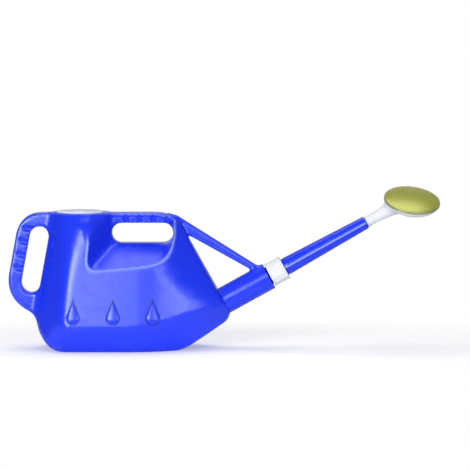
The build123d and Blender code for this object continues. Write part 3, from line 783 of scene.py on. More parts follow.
drops = drop_mesh("side_drops")
row = drops.modifiers.new("row", "NODES")
row.node_group = row_tree()
set_inputs(row, {"Count": 3, "Pitch": DROP_PITCH * MM})
bake(drops)
laid = spots(drops).T + np.array([DROP_MIDDLE_X - DROP_PITCH, 0.0, DROP_BOTTOM + DROP_RADIUS])
laid[:, 1] += wall_half(laid[:, 0], laid[:, 2])
loops = [tuple(face.vertices) for face in drops.data.polygons]
loops += [tuple(len(laid) + v for v in loop[::-1]) for loop in loops]
discard(drops)
drops = link_mesh("side_drops", np.concatenate([laid, laid * np.array([1.0, -1.0, 1.0])]) * MM, loops)
join_poles(drops)
smooth(drops, 60.0)
print("drops:", len(drops.data.vertices), "vertices")

# %% [markdown]
# ## Turned pieces
# The cutters, the rims, the nut, the spout and the cap are all round about an axis. A Screw modifier could
# turn a profile too, but here a radius may differ at every angle, for flats, flutes and threads. So one
# function makes them all from rows of a radius and a distance along the axis.

# %% Turning and cutting
SPOUT_ORIGIN = np.array([NECK_X, 0.0, NECK_Z])
SPOUT_AXES = np.array([[-SIN_A, 0.0, COS_A], [0.0, 1.0, 0.0], [COS_A, 0.0, SIN_A]])
ON_SPOUT = (SPOUT_ORIGIN, SPOUT_AXES)


def turned(name, rows, place, segments=96, closed=True):
    """A piece turned about an axis, from rows of a radius (one, or one per angle) and a distance."""
    origin, axes = place
    angle = np.linspace(0.0, 2 * math.pi, segments, endpoint=False)
    ring = np.cos(angle)[:, None] * axes[0] + np.sin(angle)[:, None] * axes[1]
    points = [origin + ring * np.broadcast_to(r, angle.shape)[:, None] + axes[2] * d for r, d in rows]
    piece = link_mesh(name, np.concatenate(points) * MM, bands(segments, len(rows), closed))
    join_poles(piece)
    return piece


def cut_away(piece, cutter):
    """Take one closed mesh away from another."""
    modifier = piece.modifiers.new("cut", "BOOLEAN")
    modifier.operation = "DIFFERENCE"
    modifier.solver = "MANIFOLD"
    modifier.object = cutter
    bake(piece)
    discard(cutter)


# %% [markdown]
# ## Cutting the tank open
# The tank is hollow: an inner skin, three millimetres in, is taken away from the outer one. Then the sunk
# seat of the cap, the filler mouth, the bore of the neck and the groove at the root of the neck are cut.
# Cuts give crisp rims, which a field would blur.

# %% Outer skin
body = field_mesh("body_moulding", body_form, (-206.0, -91.0, -3.5), (272.0, 91.0, 238.0), 2.0)
print("skin:", len(body.data.vertices), "vertices")

# %% Inner skin and cuts
WALL = 3.0
MOUTH = np.array([MOUTH_X, 0.0, DECK - CAP_RECESS])
ON_DECK = (MOUTH, np.eye(3))
MOUTH_RADIUS = 34.5
RECESS_LIP = RECESS_RADIUS + 1.6
NECK_BORE = 20.3
SPIGOT_BORE = 14.5


def room_form(x, y, z):
    """The inside of the tank."""
    room = hull_form(x, y, z) + WALL
    post = np.maximum(SLOT_START - WALL - x, SLOT_FLOOR - WALL - z)
    room = soft_max(room, -post, 6.0)
    boss = np.maximum(np.hypot(x - MOUTH[0], y) - RECESS_RADIUS - 5.0, MOUTH[2] - 2.5 - z)
    return soft_max(room, -boss, 4.0)


seat_cut = [(0, 0), (RECESS_RADIUS, 0), (RECESS_RADIUS, 3), (RECESS_LIP, 4.6), (RECESS_LIP, 16), (0, 16)]
mouth_cut = [(0, -16), (MOUTH_RADIUS, -16), (MOUTH_RADIUS, 16), (0, 16)]
bore_cut = [(0, -34), (NECK_BORE, -34), (NECK_BORE, 80), (SPIGOT_BORE, 86), (SPIGOT_BORE, 96), (0, 96)]
end_cut = [(0, NECK_END), (32, NECK_END), (32, 110), (0, 110)]
root_cut = [(NECK_RADIUS - 1.3, 0.7), (NECK_RADIUS + 1.7, 2.0), (NECK_RADIUS + 1.7, -0.6)]
cut_away(body, field_mesh("room", room_form, (-170.0, -92.0, -4.0), (190.0, 92.0, 240.0), 5.0))
for profile in (seat_cut, mouth_cut):
    cut_away(body, turned("deck_cutter", profile, ON_DECK))
for profile in (bore_cut, end_cut, root_cut):
    cut_away(body, turned("neck_cutter", profile, ON_SPOUT))
print("hollow moulding:", len(body.data.vertices), "vertices")

# %% [markdown]
# ## Sunk outlines, wear, painted highlights and painted shade
# A shallow groove runs round every drop, cut with prisms a little wider than the drops. Two numbers are then
# stored at every vertex for the material: how pale the skin is painted, as wear on tight edges and as a
# painted highlight along the pocket lips, and how much painted shade darkens the grooves. Stored numbers
# follow the form, which a texture would not.

# %% Sunk outlines
MOAT_WIDTH = 1.0
MOAT_DEPTH = 1.0
MOAT_TOP = 3.0
MOAT = drop_outline(DROP_RADIUS + MOAT_WIDTH, DROP_LENGTH - DROP_RADIUS + 2.5 * MOAT_WIDTH)
MOAT = MOAT + np.array([DROP_MIDDLE_X, DROP_BOTTOM + DROP_RADIUS])


def drop_moats():
    """Six shallow prisms that sink the outlines of the drops into the skin."""
    count = len(MOAT)
    prism = [tuple(range(count)), tuple(range(2 * count - 1, count - 1, -1))] + bands(count, 2)
    points = []
    faces = []
    for side in (-1.0, 1.0):
        for i in (-1, 0, 1):
            x = MOAT[:, 0] + DROP_PITCH * i
            z = MOAT[:, 1]
            wall = wall_half(x, z)
            start = len(points) * count
            faces += [tuple(start + k for k in loop) for loop in prism]
            points.append(np.stack([x, side * (wall - MOAT_DEPTH), z], axis=1))
            points.append(np.stack([x, side * (wall + MOAT_TOP), z], axis=1))
    cutter = link_mesh("drop_moats", np.concatenate(points) * MM, faces)
    join_poles(cutter)
    return cutter


cut_away(body, drop_moats())
smooth(body, 38.0)
print("moulding:", len(body.data.vertices), "vertices,", len(body.data.polygons), "faces")


# %% Wear, painted highlight and painted shade
EDGE_PROBE = 1.6


def edge_wear_and_highlight(x, y, z):
    """How pale the skin is painted: a painted highlight along the lip of the pockets, a little wear on every
    tight edge.
    """
    at = np.stack([x, y, z], axis=1)
    ways = [body_form(*(at + h).T) + body_form(*(at - h).T) for h in EDGE_PROBE * np.eye(3)]
    bend = (sum(ways) - 6 * body_form(x, y, z)) / EDGE_PROBE**2
    tight = clamp((bend - 0.10) / 0.25) * (bend < 0.8)
    outside = clamp((np.abs(y) - 24.0) / 6.0) * (tank_form(x, y, z) > -2.0)
    fading = 1.0 - clamp((z - 190.0) / 12.0) * clamp((20.0 - x) / 20.0)
    # Painted highlight: the pale line along the pocket lips stands in for the light that the lips catch.
    lip = 0.75 * np.exp(-(((tank_form(x, y, z) + pocket_form(x, y, z)) / 2.6) ** 2)) * outside * fading
    return np.maximum(0.35 * tight, lip)


def outline_shade(x, y, z):
    """How much painted shade darkens the sunk outline of the drops."""
    painted_shade = np.zeros(len(x))
    level = np.abs(z - DROP_BOTTOM - DROP_LENGTH / 2) < DROP_LENGTH / 2 + 8.0
    near = np.flatnonzero((np.abs(y) > 60.0) & level)
    for i in (-1, 0, 1):
        dx = x[near, None] - MOAT[None, :, 0] - DROP_PITCH * i
        dz = z[near, None] - MOAT[None, :, 1]
        gap = np.hypot(dx, dz).min(axis=1)
        painted_shade[near] = np.maximum(painted_shade[near], clamp(1.4 - gap))
    return painted_shade


def keep(piece, name, values):
    """Store one number at every vertex for the material to read."""
    piece.data.attributes.new(name, "FLOAT", "POINT").data.foreach_set("value", values)


keep(body, "wear_and_highlight", edge_wear_and_highlight(*spots(body)))
# Painted shade: the grooves round the drops are darkened where shadow would fall in them.
keep(body, "painted_shade", outline_shade(*spots(body)))
x, y, z = spots(drops)
# Painted shade: the foot of each drop is darkened where it sinks into its groove.
keep(drops, "painted_shade", clamp(1.0 - (np.abs(y) - wall_half(x, z)) / 1.3))
print("numbers on the moulding:", [a.name for a in body.data.attributes if a.name in ("wear_and_highlight", "painted_shade")])

# %% [markdown]
# ## Rim of the mouth and threaded spigot
# Two small turned pieces finish the moulding: the rim that the filler cap presses over, and the spigot that
# the union nut screws onto. A thread is only a radius that depends on both the angle and the distance, so the
# spigot and the nut share one function for it.

# %% Threads
THREAD_PITCH = 6.0
THREAD_HEIGHT = 1.3
THREAD_FOOT = 2.2
THREAD_CREST = 1.2
THREAD_STEP = 0.36
SPIGOT_RADIUS = 17.0
SPIGOT_RELIEF = 15.6
SPIGOT_END = 109.0
NUT_START = 90.0
NUT_END = 118.0
SEGMENTS = 120
turn_angle = np.linspace(0.0, 2 * math.pi, SEGMENTS, endpoint=False)


def thread_rise(angle, distance, start, turns):
    """Height of a helical ridge at an angle and a distance along the line."""
    rise = np.zeros(np.broadcast(angle, distance).shape)
    for turn in range(int(math.ceil(turns)) + 1):
        where = angle / (2 * math.pi) + turn
        middle = start + THREAD_PITCH * where
        off = np.abs(distance - middle)
        ramp = clamp((THREAD_FOOT / 2 - off) / (THREAD_FOOT / 2 - THREAD_CREST / 2))
        ends = clamp(np.minimum(where, turns - where) * 12.0)
        rise = np.maximum(rise, ramp * ends)
    return THREAD_HEIGHT * rise


# %% Spigot and rim
RIM_RADIUS = 37.5
rows = [(SPIGOT_BORE, 84.0), (SPIGOT_RELIEF, 84.0), (SPIGOT_RELIEF, NUT_START + 0.8)]
rows.append((SPIGOT_RADIUS, NUT_START + 1.6))
for d in np.arange(NUT_START + 2.0, SPIGOT_END - 0.6, THREAD_STEP):
    rows.append((SPIGOT_RADIUS + thread_rise(turn_angle, d, NUT_START, 2.5), d))
rows += [(SPIGOT_RADIUS, SPIGOT_END - 0.6), (SPIGOT_RADIUS - 0.6, SPIGOT_END), (SPIGOT_BORE, SPIGOT_END)]
spigot = turned("threaded_spigot", rows, ON_SPOUT, SEGMENTS)
x, y, z = spots(spigot)
# Painted shade: the spigot's root in the narrow gap before the nut is painted dark, where the gap lies in
# shadow.
keep(spigot, "painted_shade", np.where(along_spout(x, z)[0] < NUT_START + 1.2, 1.0, 0.0))
rows = [(MOUTH_RADIUS, -2.0), (RIM_RADIUS, -1.0), (RIM_RADIUS, 2.4), (RIM_RADIUS - 0.6, 3.0)]
rows += [(MOUTH_RADIUS + 0.6, 3.0), (MOUTH_RADIUS, 2.4)]
rim = turned("filler_rim", rows, ON_DECK)
print("spigot:", len(spigot.data.vertices), "vertices")

# %% [markdown]
# ## Union nut
# A white ring with twelve flats between two beads. Its bore carries the matching thread, and a lip at the
# front end holds the spout's flange.

# %% Union nut
NUT_SEAT = 115.0
NUT_BORE = 18.7
NUT_LIP = 15.3
NUT_RADIUS = 21.0
HALF_FLAT = math.pi / 12
facet = math.cos(HALF_FLAT) / np.cos((turn_angle + HALF_FLAT) % (2 * HALF_FLAT) - HALF_FLAT)
facet = NUT_RADIUS * (facet * 0.85 + 0.15) - 0.35
bead = [(NUT_RADIUS - 0.7, 0.0), (NUT_RADIUS, 0.7), (NUT_RADIUS, 2.4), (NUT_RADIUS - 0.5, 2.9), (facet, 3.3)]
rows = [(NUT_BORE + 0.5, NUT_START)] + [(r, NUT_START + d) for r, d in bead]
rows += [(facet, d) for d in np.linspace(NUT_START + 4.0, NUT_END - 4.0, 6)]
rows += [(r, NUT_END - d) for r, d in bead[::-1]]
rows += [(NUT_LIP + 0.5, NUT_END), (NUT_LIP, NUT_END - 0.5), (NUT_LIP, NUT_SEAT), (NUT_BORE, NUT_SEAT)]
for d in np.arange(NUT_SEAT - 0.6, NUT_START + 0.6, -THREAD_STEP):
    rows.append((NUT_BORE - thread_rise(turn_angle, d, NUT_START + 4.0, 2.0), d))
rows.append((NUT_BORE, NUT_START + 0.5))
nut = turned("union_nut_ring", rows, ON_SPOUT, SEGMENTS)
smooth(nut, 24.0)
print("nut:", len(nut.data.vertices), "vertices")

# %% [markdown]
# ## Spout tube
# A tapered tube with a flange inside the nut and a socket at its tip. The mould's parting line runs down
# both sides as a fine ridge, painted pale along its line as a painted highlight, and the tip is rounded over.

# %% Spout tube
TIP = 277.0
TIP_RADIUS = 10.3
ROOT_RADIUS = 14.5
SPOUT_SWELL = 0.7
SEAM_RISE = 0.35
SEAM_WIDTH = 1.3
FLANGE_RADIUS = 17.0
FLANGE_START = 111.0
FLANGE_END = 114.7
ROOT_BORE = 12.5
SOCKET = 8.5
SOCKET_START = TIP - 24.0
seam = np.exp(-((np.cos(turn_angle) / 0.05) ** 2))


def taper(distance):
    """The tube's outer radius between the nut and the tip."""
    share = min(max((distance - NUT_END) / (TIP - NUT_END), 0.0), 1.0)
    return ROOT_RADIUS + (TIP_RADIUS - ROOT_RADIUS) * share


rows = [(ROOT_BORE, FLANGE_START), (FLANGE_RADIUS, FLANGE_START), (FLANGE_RADIUS, FLANGE_END)]
rows += [(ROOT_RADIUS, FLANGE_END), (ROOT_RADIUS, NUT_END)]
for d in np.linspace(NUT_END + 1.0, TIP - 3.0, 60):
    rows.append((taper(d) + (SPOUT_SWELL + SEAM_RISE * seam) * min((d - NUT_END) / 6.0, 1.0), d))
rows += [(taper(TIP) + SPOUT_SWELL - 0.2, TIP - 2.2), (TIP_RADIUS - 0.35, TIP - 0.7)]
rows += [(TIP_RADIUS - 0.9, TIP - 0.15), (TIP_RADIUS - 1.4, TIP), (SOCKET, TIP - 0.3), (SOCKET, SOCKET_START)]
for s in (0.1, 0.4, 0.7, 0.95):
    rows.append((SOCKET + (ROOT_BORE - SOCKET) * s, SOCKET_START - s * (SOCKET_START - FLANGE_START)))
spout = turned("spout_moulding", rows, ON_SPOUT, SEGMENTS)
smooth(spout, 40.0)
x, y, z = spots(spout)
reach, across = along_spout(x, z)
outside = (np.hypot(across, y) > 9.4) & (reach > NUT_END) & (reach < TIP - 1.0)
# Painted highlight: the pale line along the parting ridge stands in for the light that the ridge catches.
keep(spout, "wear_and_highlight", np.exp(-((across / SEAM_WIDTH) ** 2)) * outside)
print("spout:", len(spout.data.vertices), "vertices")

# %% [markdown]
# ## Rose
# The rose is a white bell: a short neck that plugs into the spout flares into a shallow bowl set at a slant.
# The bell and the bowl turn about different axes, so they are blended as a field once more. The bowl is
# then hollowed with two turned cutters.

# %% Rose frame
ROSE_TILT = math.radians(58.5)
ROSE_SWIVEL = math.radians(28.4)
ROSE_RADIUS = 48.0
ROSE_DEPTH = 20.0
ROSE_REACH = 86.0
ROSE_DROP = 5.5
ROSE_WALL = 2.0
FACE_SHEET = 0.8
FACE_DOME = 5.0
FACE_SKIRT = 6.0
FACE_HEM = 2.6
BOWL = ROSE_RADIUS - FACE_SHEET
ACROSS = SPOUT_AXES[0]
ALONG = SPOUT_AXES[2]
ROSE_UP = ACROSS * math.cos(ROSE_SWIVEL) + np.array([0.0, -1.0, 0.0]) * math.sin(ROSE_SWIVEL)
ROSE_MIDDLE = SPOUT_ORIGIN + ALONG * (TIP + ROSE_REACH) - ROSE_UP * ROSE_DROP
ROSE_NORMAL = ALONG * math.cos(ROSE_TILT) + ROSE_UP * math.sin(ROSE_TILT)
ROSE_CROSS = ALONG * math.sin(ROSE_TILT) - ROSE_UP * math.cos(ROSE_TILT)
ROSE_AXES = np.array([ROSE_CROSS, np.cross(ROSE_NORMAL, ROSE_CROSS), ROSE_NORMAL])
BOWL_LINE = [
    (-BOWL, -FACE_SKIRT),
    (-BOWL * 0.88, -ROSE_DEPTH * 0.6),
    (-BOWL * 0.62, -ROSE_DEPTH * 0.9),
    (-BOWL * 0.3, -ROSE_DEPTH),
    (0.0, -ROSE_DEPTH),
]
print("middle of the face:", ROSE_MIDDLE.round(1))

# %% Bell and plug
PLUG_BORE = 4.6
PLUG_RADIUS = 8.2
PLUG_GROOVE = 5.9


def bell_form(x, y, z):
    """Collar, neck, flare and bowl of the rose."""
    a, u = along_spout(x, z)
    radius = np.hypot(u, y)
    flare = 9.0 + 6.0 * clamp((a - TIP - 14.0) / 50.5) ** 1.4
    neck = soft_max(radius - flare, TIP + 3.0 - a, 1.0)
    collar = soft_max(radius - TIP_RADIUS, np.abs(a - TIP - 1.9) - 1.6, 1.4)
    at = [x - ROSE_MIDDLE[0], y - ROSE_MIDDLE[1], z - ROSE_MIDDLE[2]]
    p, q, h = [at[0] * v[0] + at[1] * v[1] + at[2] * v[2] for v in ROSE_AXES]
    rho = np.sqrt(p * p + q * q + 1e-9)
    bowl = np.maximum(rho - BOWL, h)
    for start, end in zip(BOWL_LINE, BOWL_LINE[1:]):
        bowl = soft_max(bowl, line_field(start, end, -rho, h), 5.0)
    form = soft_min(np.maximum(neck, h + 2.0), bowl, 10.0)
    form = np.maximum(soft_min(form, collar, 2.0), h)
    return np.maximum(form, np.minimum(rho - BOWL, h + FACE_SKIRT))


bell = field_mesh("rose_bell", bell_form, (406.0, -58.0, 199.0), (556.0, 58.0, 286.0), 1.5)
bowl_cut = [
    (0.0, 1.0),
    (BOWL - ROSE_WALL, 1.0),
    (BOWL - ROSE_WALL, -FACE_SKIRT),
    (BOWL * 0.88 - ROSE_WALL, -ROSE_DEPTH * 0.6 + ROSE_WALL),
    (BOWL * 0.62 - ROSE_WALL, -ROSE_DEPTH * 0.9 + ROSE_WALL),
    (BOWL * 0.3, -ROSE_DEPTH + ROSE_WALL),
    (0.0, -ROSE_DEPTH + ROSE_WALL),
]
cut_away(bell, turned("bowl_cutter", bowl_cut, (ROSE_MIDDLE, ROSE_AXES)))
pipe_cut = [(0.0, TIP - 3.0), (PLUG_BORE, TIP - 3.0), (PLUG_BORE, TIP), (7.0, TIP + 14.0)]
pipe_cut += [(12.0, TIP + 58.0), (0.0, TIP + 58.0)]
cut_away(bell, turned("pipe_cutter", pipe_cut, ON_SPOUT))
smooth(bell, 40.0)
plug_rows = [(PLUG_BORE, TIP - 20.0), (7.6, TIP - 20.0), (PLUG_RADIUS, TIP - 19.0), (PLUG_RADIUS, TIP - 9.3)]
plug_rows += [(PLUG_GROOVE, TIP - 9.3), (PLUG_GROOVE, TIP - 6.7), (PLUG_RADIUS, TIP - 6.7)]
plug_rows += [(PLUG_RADIUS, TIP + 0.6), (PLUG_BORE, TIP + 0.6)]
plug = turned("rose_plug", plug_rows, ON_SPOUT)
smooth(plug, 30.0)
print("bell:", len(bell.data.vertices), "vertices")

# %% [markdown]
# ## Perforated face
# The face is a domed sheet with its edge rolled down round the bowl. Its holes lie in rings of 6, 12, 18 and
# so on. A Geometry Nodes tree works out the ring and the angle of each hole from its number, puts a small
# cutter there and takes all of them from the sheet at once, so the count and the size stay two numbers.

# %% Face sheet
sheet_rows = []
for r in np.linspace(0.0, 44.6, 24):
    sheet_rows.append((r, FACE_SHEET + FACE_DOME * (1.0 - (r / ROSE_RADIUS) ** 2)))
edge_z = FACE_SHEET + FACE_DOME * (1.0 - (45.2 / ROSE_RADIUS) ** 2)
sheet_rows += [(45.2, edge_z - 0.35), (45.8, edge_z - 0.45), (46.4, edge_z - 0.15), (47.1, edge_z - 0.2)]
sheet_rows += [(47.7, edge_z - 0.7), (48.0, edge_z - 1.4), (48.0, -FACE_HEM + 0.4), (47.7, -FACE_HEM)]
sheet_rows += [(BOWL + 0.05, -FACE_HEM), (BOWL + 0.05, -0.2), (46.6, 0.15)]
for r in np.linspace(44.6, 0.0, 24):
    sheet_rows.append((r, FACE_DOME * (1.0 - (r / BOWL) ** 2) * 0.98 + 0.05))
face = turned("rose_face_sheet", sheet_rows, (np.zeros(3), np.eye(3)), closed=False)
print("face sheet:", len(face.data.vertices), "vertices")


# %% Perforation tree
def perforation_tree():
    """Geometry nodes that punch rings of holes through a sheet."""
    sockets = (("Geometry", "Geometry"), ("Rings", "Int"), ("Ring Step", "Float"))
    sockets += (("Hole Radius", "Float"), ("Sheet", "Material"))
    tree, source, result = new_group("ring_perforation", "GeometryNodeTree", sockets, sockets[:1])
    made = tree.nodes
    join = tree.links.new

    def sum_of(operation, first, second=None):
        node = shader_node(made, "Math", operation=operation)
        for socket, value in zip(node.inputs, (first, second)):
            if isinstance(value, float):
                socket.default_value = value
            elif value is not None:
                join(value, socket)
        return node.outputs[0]

    number = made.new("GeometryNodeInputIndex").outputs[0]
    last = source.outputs["Rings"]
    total = sum_of("ADD", sum_of("MULTIPLY", sum_of("MULTIPLY", last, sum_of("ADD", last, 1.0)), 3.0), 1.0)
    root = sum_of("SQRT", sum_of("ADD", sum_of("MULTIPLY", number, 12.0), 9.0))
    ring = sum_of("CEIL", sum_of("SUBTRACT", sum_of("DIVIDE", sum_of("SUBTRACT", root, 3.0), 6.0), 0.0005))
    before = sum_of("MULTIPLY", sum_of("MULTIPLY", ring, sum_of("SUBTRACT", ring, 1.0)), 3.0)
    place = sum_of("SUBTRACT", sum_of("SUBTRACT", number, 1.0), before)
    share = sum_of("DIVIDE", place, sum_of("MAXIMUM", sum_of("MULTIPLY", ring, 6.0), 1.0))
    angle = sum_of("MULTIPLY", share, 2 * math.pi)
    reach = sum_of("MULTIPLY", ring, source.outputs["Ring Step"])
    spot = shader_node(made, "CombineXYZ")
    join(sum_of("MULTIPLY", reach, sum_of("COSINE", angle)), spot.inputs["X"])
    join(sum_of("MULTIPLY", reach, sum_of("SINE", angle)), spot.inputs["Y"])
    kinds = ("Points", "MeshCylinder", "InstanceOnPoints", "RealizeInstances", "MeshBoolean", "SetMaterial")
    points, cutter, copies, real, punch, paint = [made.new("GeometryNode" + kind) for kind in kinds]
    join(total, points.inputs["Count"])
    cutter.inputs["Vertices"].default_value = 10
    cutter.inputs["Depth"].default_value = 0.02
    punch.operation = "DIFFERENCE"
    punch.solver = "MANIFOLD"
    wire(
        tree.links,
        (spot, 0, points, "Position"),
        (source, "Hole Radius", cutter, "Radius"),
        (points, 0, copies, "Points"),
        (cutter, "Mesh", copies, "Instance"),
        (copies, 0, real, 0),
        (source, "Geometry", punch, "Mesh 1"),
        (real, 0, punch, "Mesh 2"),
        (punch, "Mesh", paint, "Geometry"),
        (source, "Sheet", paint, "Material"),
        (paint, 0, result, 0),
    )
    return tree


# %% [markdown]
# ## Filler cap
# A flat white lid with a fluted edge and a raised bar to twist it by, sunk into its seat. The flutes come
# from the radius of the skirt, which rises and falls with the angle. The bar is a stack of rings with round
# ends that close in upwards.

# %% Filler lid
CAP_BORE = 37.8
CAP_RADIUS = 40.0
flutes = CAP_RADIUS - 0.35 + 0.35 * np.cos(turn_angle * 30)
rows = [(CAP_BORE, 0.3), (flutes - 0.2, 0.3), (flutes, 0.7), (flutes, 3.6), (CAP_RADIUS - 0.8, 4.5)]
rows += [(CAP_RADIUS - 1.5, 5.1), (CAP_RADIUS - 2.6, 5.6), (CAP_RADIUS - 3.4, 5.8), (33.0, 5.8), (32.4, 5.4)]
rows += [(31.8, 5.4), (31.2, 5.8), (15.0, 5.8), (0.0, 5.8), (0.0, 4.2), (CAP_BORE, 4.2)]
cap = turned("filler_lid", rows, ON_DECK, SEGMENTS)
smooth(cap, 50.0)
print("cap:", len(cap.data.vertices), "vertices")

# %% Grip bar
BAR_LENGTH = 47.8
BAR_WIDTH = 19.6
BAR_LEVELS = ((0.0, 5.4), (0.1, 5.95), (0.27, 6.37), (0.78, 6.55))
BAR_POINTS = 48
angle = np.linspace(0.0, 2 * math.pi, BAR_POINTS, endpoint=False)
shift = (BAR_LENGTH - BAR_WIDTH) / 2 * np.sign(np.sin(angle + 1e-6))
rings = []
for inset, z in BAR_LEVELS:
    r = BAR_WIDTH / 2 - inset
    ring = np.stack([r * np.cos(angle), shift + r * np.sin(angle), np.full(BAR_POINTS, z)], axis=1)
    rings.append(ring + MOUTH)
last = BAR_POINTS * (len(rings) - 1)
ends = [tuple(range(BAR_POINTS - 1, -1, -1)), tuple(range(last, last + BAR_POINTS))]
bar = link_mesh("filler_lid_bar", np.concatenate(rings) * MM, ends + bands(BAR_POINTS, len(rings)))
smooth(bar, 50.0)
print("bar:", len(bar.data.vertices), "vertices")

# %% [markdown]
# ## Materials
# Moulded polyethylene is never one even colour: the skin has a fine orange-peel grain, the pigment is a
# little uneven, and use leaves dull scuffs. One shader group makes these from noise in object coordinates,
# so every plastic piece shares it and only the colours and depths differ.

# %% Moulded skin group
def moulded_skin():
    """Shader group: uneven colour, uneven gloss and a fine grain."""
    inputs = (("Color", "Color"), ("Pale Color", "Color"), ("Gloss", "Float"), ("Scuffs", "Float"))
    inputs += (("Grain", "Float"),)
    outputs = (("Color", "Color"), ("Roughness", "Float"), ("Normal", "Vector"))
    tree, source, result = new_group("moulded_skin", "ShaderNodeTree", inputs, outputs)
    made = tree.nodes
    join = tree.links.new
    where = shader_node(made, "TexCoord")

    def noise(scale, detail):
        node = shader_node(made, "TexNoise", {"Scale": scale, "Detail": detail})
        join(where.outputs["Object"], node.inputs["Vector"])
        return node.outputs[0]

    def span(value, low, high, to_low, to_high):
        limits = {"From Min": low, "From Max": high, "To Min": to_low, "To Max": to_high}
        node = shader_node(made, "MapRange", limits)
        join(value, node.inputs["Value"])
        return node.outputs["Result"]

    def blend(operation, first, second):
        node = shader_node(made, "Math", operation=operation)
        join(first, node.inputs[0])
        join(second, node.inputs[1])
        return node.outputs[0]

    cloud = span(noise(9.0, 3.0), 0.3, 0.7, 0.0, 0.5)
    fleck = span(noise(150.0, 2.0), 0.35, 0.65, 0.0, 0.25)
    tint = shader_node(made, "Mix", data_type="RGBA")
    join(blend("ADD", cloud, fleck), tint.inputs[0])
    join(source.outputs["Color"], tint.inputs[6])
    join(source.outputs["Pale Color"], tint.inputs[7])
    join(tint.outputs[2], result.inputs["Color"])
    rub = span(noise(42.0, 6.0), 0.52, 0.72, 0.0, 1.0)
    scuffs = blend("MULTIPLY", rub, source.outputs["Scuffs"])
    join(blend("ADD", source.outputs["Gloss"], scuffs), result.inputs["Roughness"])
    bump = shader_node(made, "Bump", {"Distance": 0.0006})
    join(source.outputs["Grain"], bump.inputs["Strength"])
    join(noise(420.0, 2.0), bump.inputs["Height"])
    join(bump.outputs["Normal"], result.inputs["Normal"])
    return tree


# %% One finish
SKIN = moulded_skin()


def finish(name, color, pale, gloss, scuffs, grain, sheen, marks=()):
    """A material with the moulded skin. The sheen is a set of values on the shader's own sockets."""
    material, nodes, links, out = new_material(name)
    shader = shader_node(nodes, "BsdfPrincipled", sheen)
    skin = shader_node(nodes, "Group", node_tree=SKIN)
    values = (color + (1.0,), pale + (1.0,), gloss, scuffs, grain)
    for socket, value in zip(("Color", "Pale Color", "Gloss", "Scuffs", "Grain"), values):
        skin.inputs[socket].default_value = value
    shade = (skin, "Color")
    # Each mark mixes a stored tone into the colour; the marks used here paint wear, painted highlights and
    # painted shade.
    for mask, tone in marks:
        amount = shader_node(nodes, "Attribute", attribute_name=mask)
        mix = shader_node(nodes, "Mix", {7: tone + (1.0,)}, data_type="RGBA")
        wire(links, (amount, "Fac", mix, 0), shade + (mix, 6))
        shade = (mix, 2)
    wire(
        links,
        shade + (shader, "Base Color"),
        (skin, "Roughness", shader, "Roughness"),
        (skin, "Normal", shader, "Normal"),
        (shader, 0, out, "Surface"),
    )
    return material


# %% Finishes
PLASTIC = {"IOR": 1.54}
TINTED = {"IOR": 1.54, "Specular Tint": (0.88, 1.0, 1.0, 1.0)}
LACQUER = {"Metallic": 0.35, "Coat Weight": 0.35, "Coat Roughness": 0.22}
# Two painted marks: pale blue for wear on tight edges and a painted highlight on the pocket lips and spout
# seam, dark navy for painted shade in the drop grooves and the gap before the nut.
MARKS = (("wear_and_highlight", (0.30, 0.40, 0.88)), ("painted_shade", (0.004, 0.012, 0.34)))
BLUE = finish("blue_plastic", (0.008, 0.032, 0.78), (0.012, 0.039, 0.84), 0.25, 0.08, 0.06, TINTED, MARKS)
WHITE = finish("white_plastic", (0.76, 0.77, 0.81), (0.80, 0.81, 0.85), 0.42, 0.10, 0.08, PLASTIC)
# Painted shade: the filler cap is white plastic, given a darker blue-grey to paint the shade and blue
# reflection it shows.
SHADED_WHITE = finish("white_plastic_painted_shade", (0.72, 0.76, 0.88), (0.76, 0.80, 0.91), 0.42, 0.06, 0.06, PLASTIC)
PALE = finish("pale_plastic", (0.74, 0.76, 0.83), (0.78, 0.80, 0.86), 0.42, 0.10, 0.08, PLASTIC)
RUBBER = finish("seal_rubber", (0.018, 0.018, 0.020), (0.035, 0.035, 0.038), 0.62, 0.12, 0.15, PLASTIC)
OLIVE = finish("olive_brass", (0.40, 0.435, 0.036), (0.44, 0.45, 0.065), 0.28, 0.08, 0.06, LACQUER)
EDGE = finish("olive_brass_edge", (0.34, 0.36, 0.16), (0.38, 0.40, 0.20), 0.36, 0.08, 0.06, LACQUER)
print("materials:", sorted(material.name for material in bpy.data.materials))

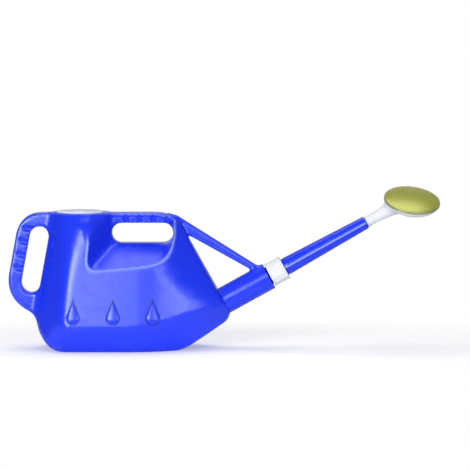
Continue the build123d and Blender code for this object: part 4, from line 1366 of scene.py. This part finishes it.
# %% [markdown]
# ## Punching the face
# The face is punched while it lies flat at the origin and is then laid onto the bowl. Its rolled edge is
# duller than the sheet, so it gets a material of its own.

# %% Punch and place the face
EDGE_START = 44.9
punch = face.modifiers.new("perforation", "NODES")
punch.node_group = perforation_tree()
set_inputs(punch, {"Rings": 7, "Ring Step": 0.006, "Hole Radius": 0.0007, "Sheet": OLIVE})
bake(face)
flat = spots(face).T
reach = [np.hypot(*flat[list(p.vertices)].mean(axis=0)[:2]) for p in face.data.polygons]
face.data.vertices.foreach_set("co", ((flat @ ROSE_AXES + ROSE_MIDDLE) * MM).ravel())
face.data.materials.clear()
face.data.materials.append(OLIVE)
face.data.materials.append(EDGE)
face.data.polygons.foreach_set("material_index", [int(r > EDGE_START) for r in reach])
smooth(face, 35.0)
face.data.update()
print("face:", len(face.data.polygons), "faces")

# %% [markdown]
# ## Dressing the bodies
# Each piece rides on the body of the solid it stands for, so that it follows the joints, and is given its
# finish. The three seals keep their solid shapes and only get the rubber.

# %% Ride, replace and finish
dressing = (
    (body, "can", ("tank_shell", "top_handle", "rear_handle", "brace"), BLUE, "blue_plastic"),
    (spigot, "can", ("spout_neck",), BLUE, "blue_plastic"),
    (rim, "can", (), BLUE, "blue_plastic"),
    (drops, "can", (), BLUE, "blue_plastic"),
    (spout, "spout", ("spout_tube",), BLUE, "blue_plastic"),
    (nut, "nut", ("union_nut",), WHITE, "white_plastic"),
    (bell, "rose", ("rose_body",), PALE, "white_plastic"),
    (plug, "rose", (), WHITE, "white_plastic"),
    (face, "rose", ("rose_face",), None, "rose_metal"),
    (cap, "cap", ("filler_cap",), SHADED_WHITE, "white_plastic"),
    (bar, "cap", (), SHADED_WHITE, "white_plastic"),
)
for piece, rides_on, stands_for, look, slot in dressing:
    if look is not None:
        piece.data.materials.clear()
        piece.data.materials.append(look)
    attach(piece, rides_on)
    if stands_for:
        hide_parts(*stands_for)
for name in ("cap_seal", "spout_washer", "rose_seal"):
    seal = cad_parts[name]
    seal.data.materials.clear()
    seal.data.materials.append(RUBBER)
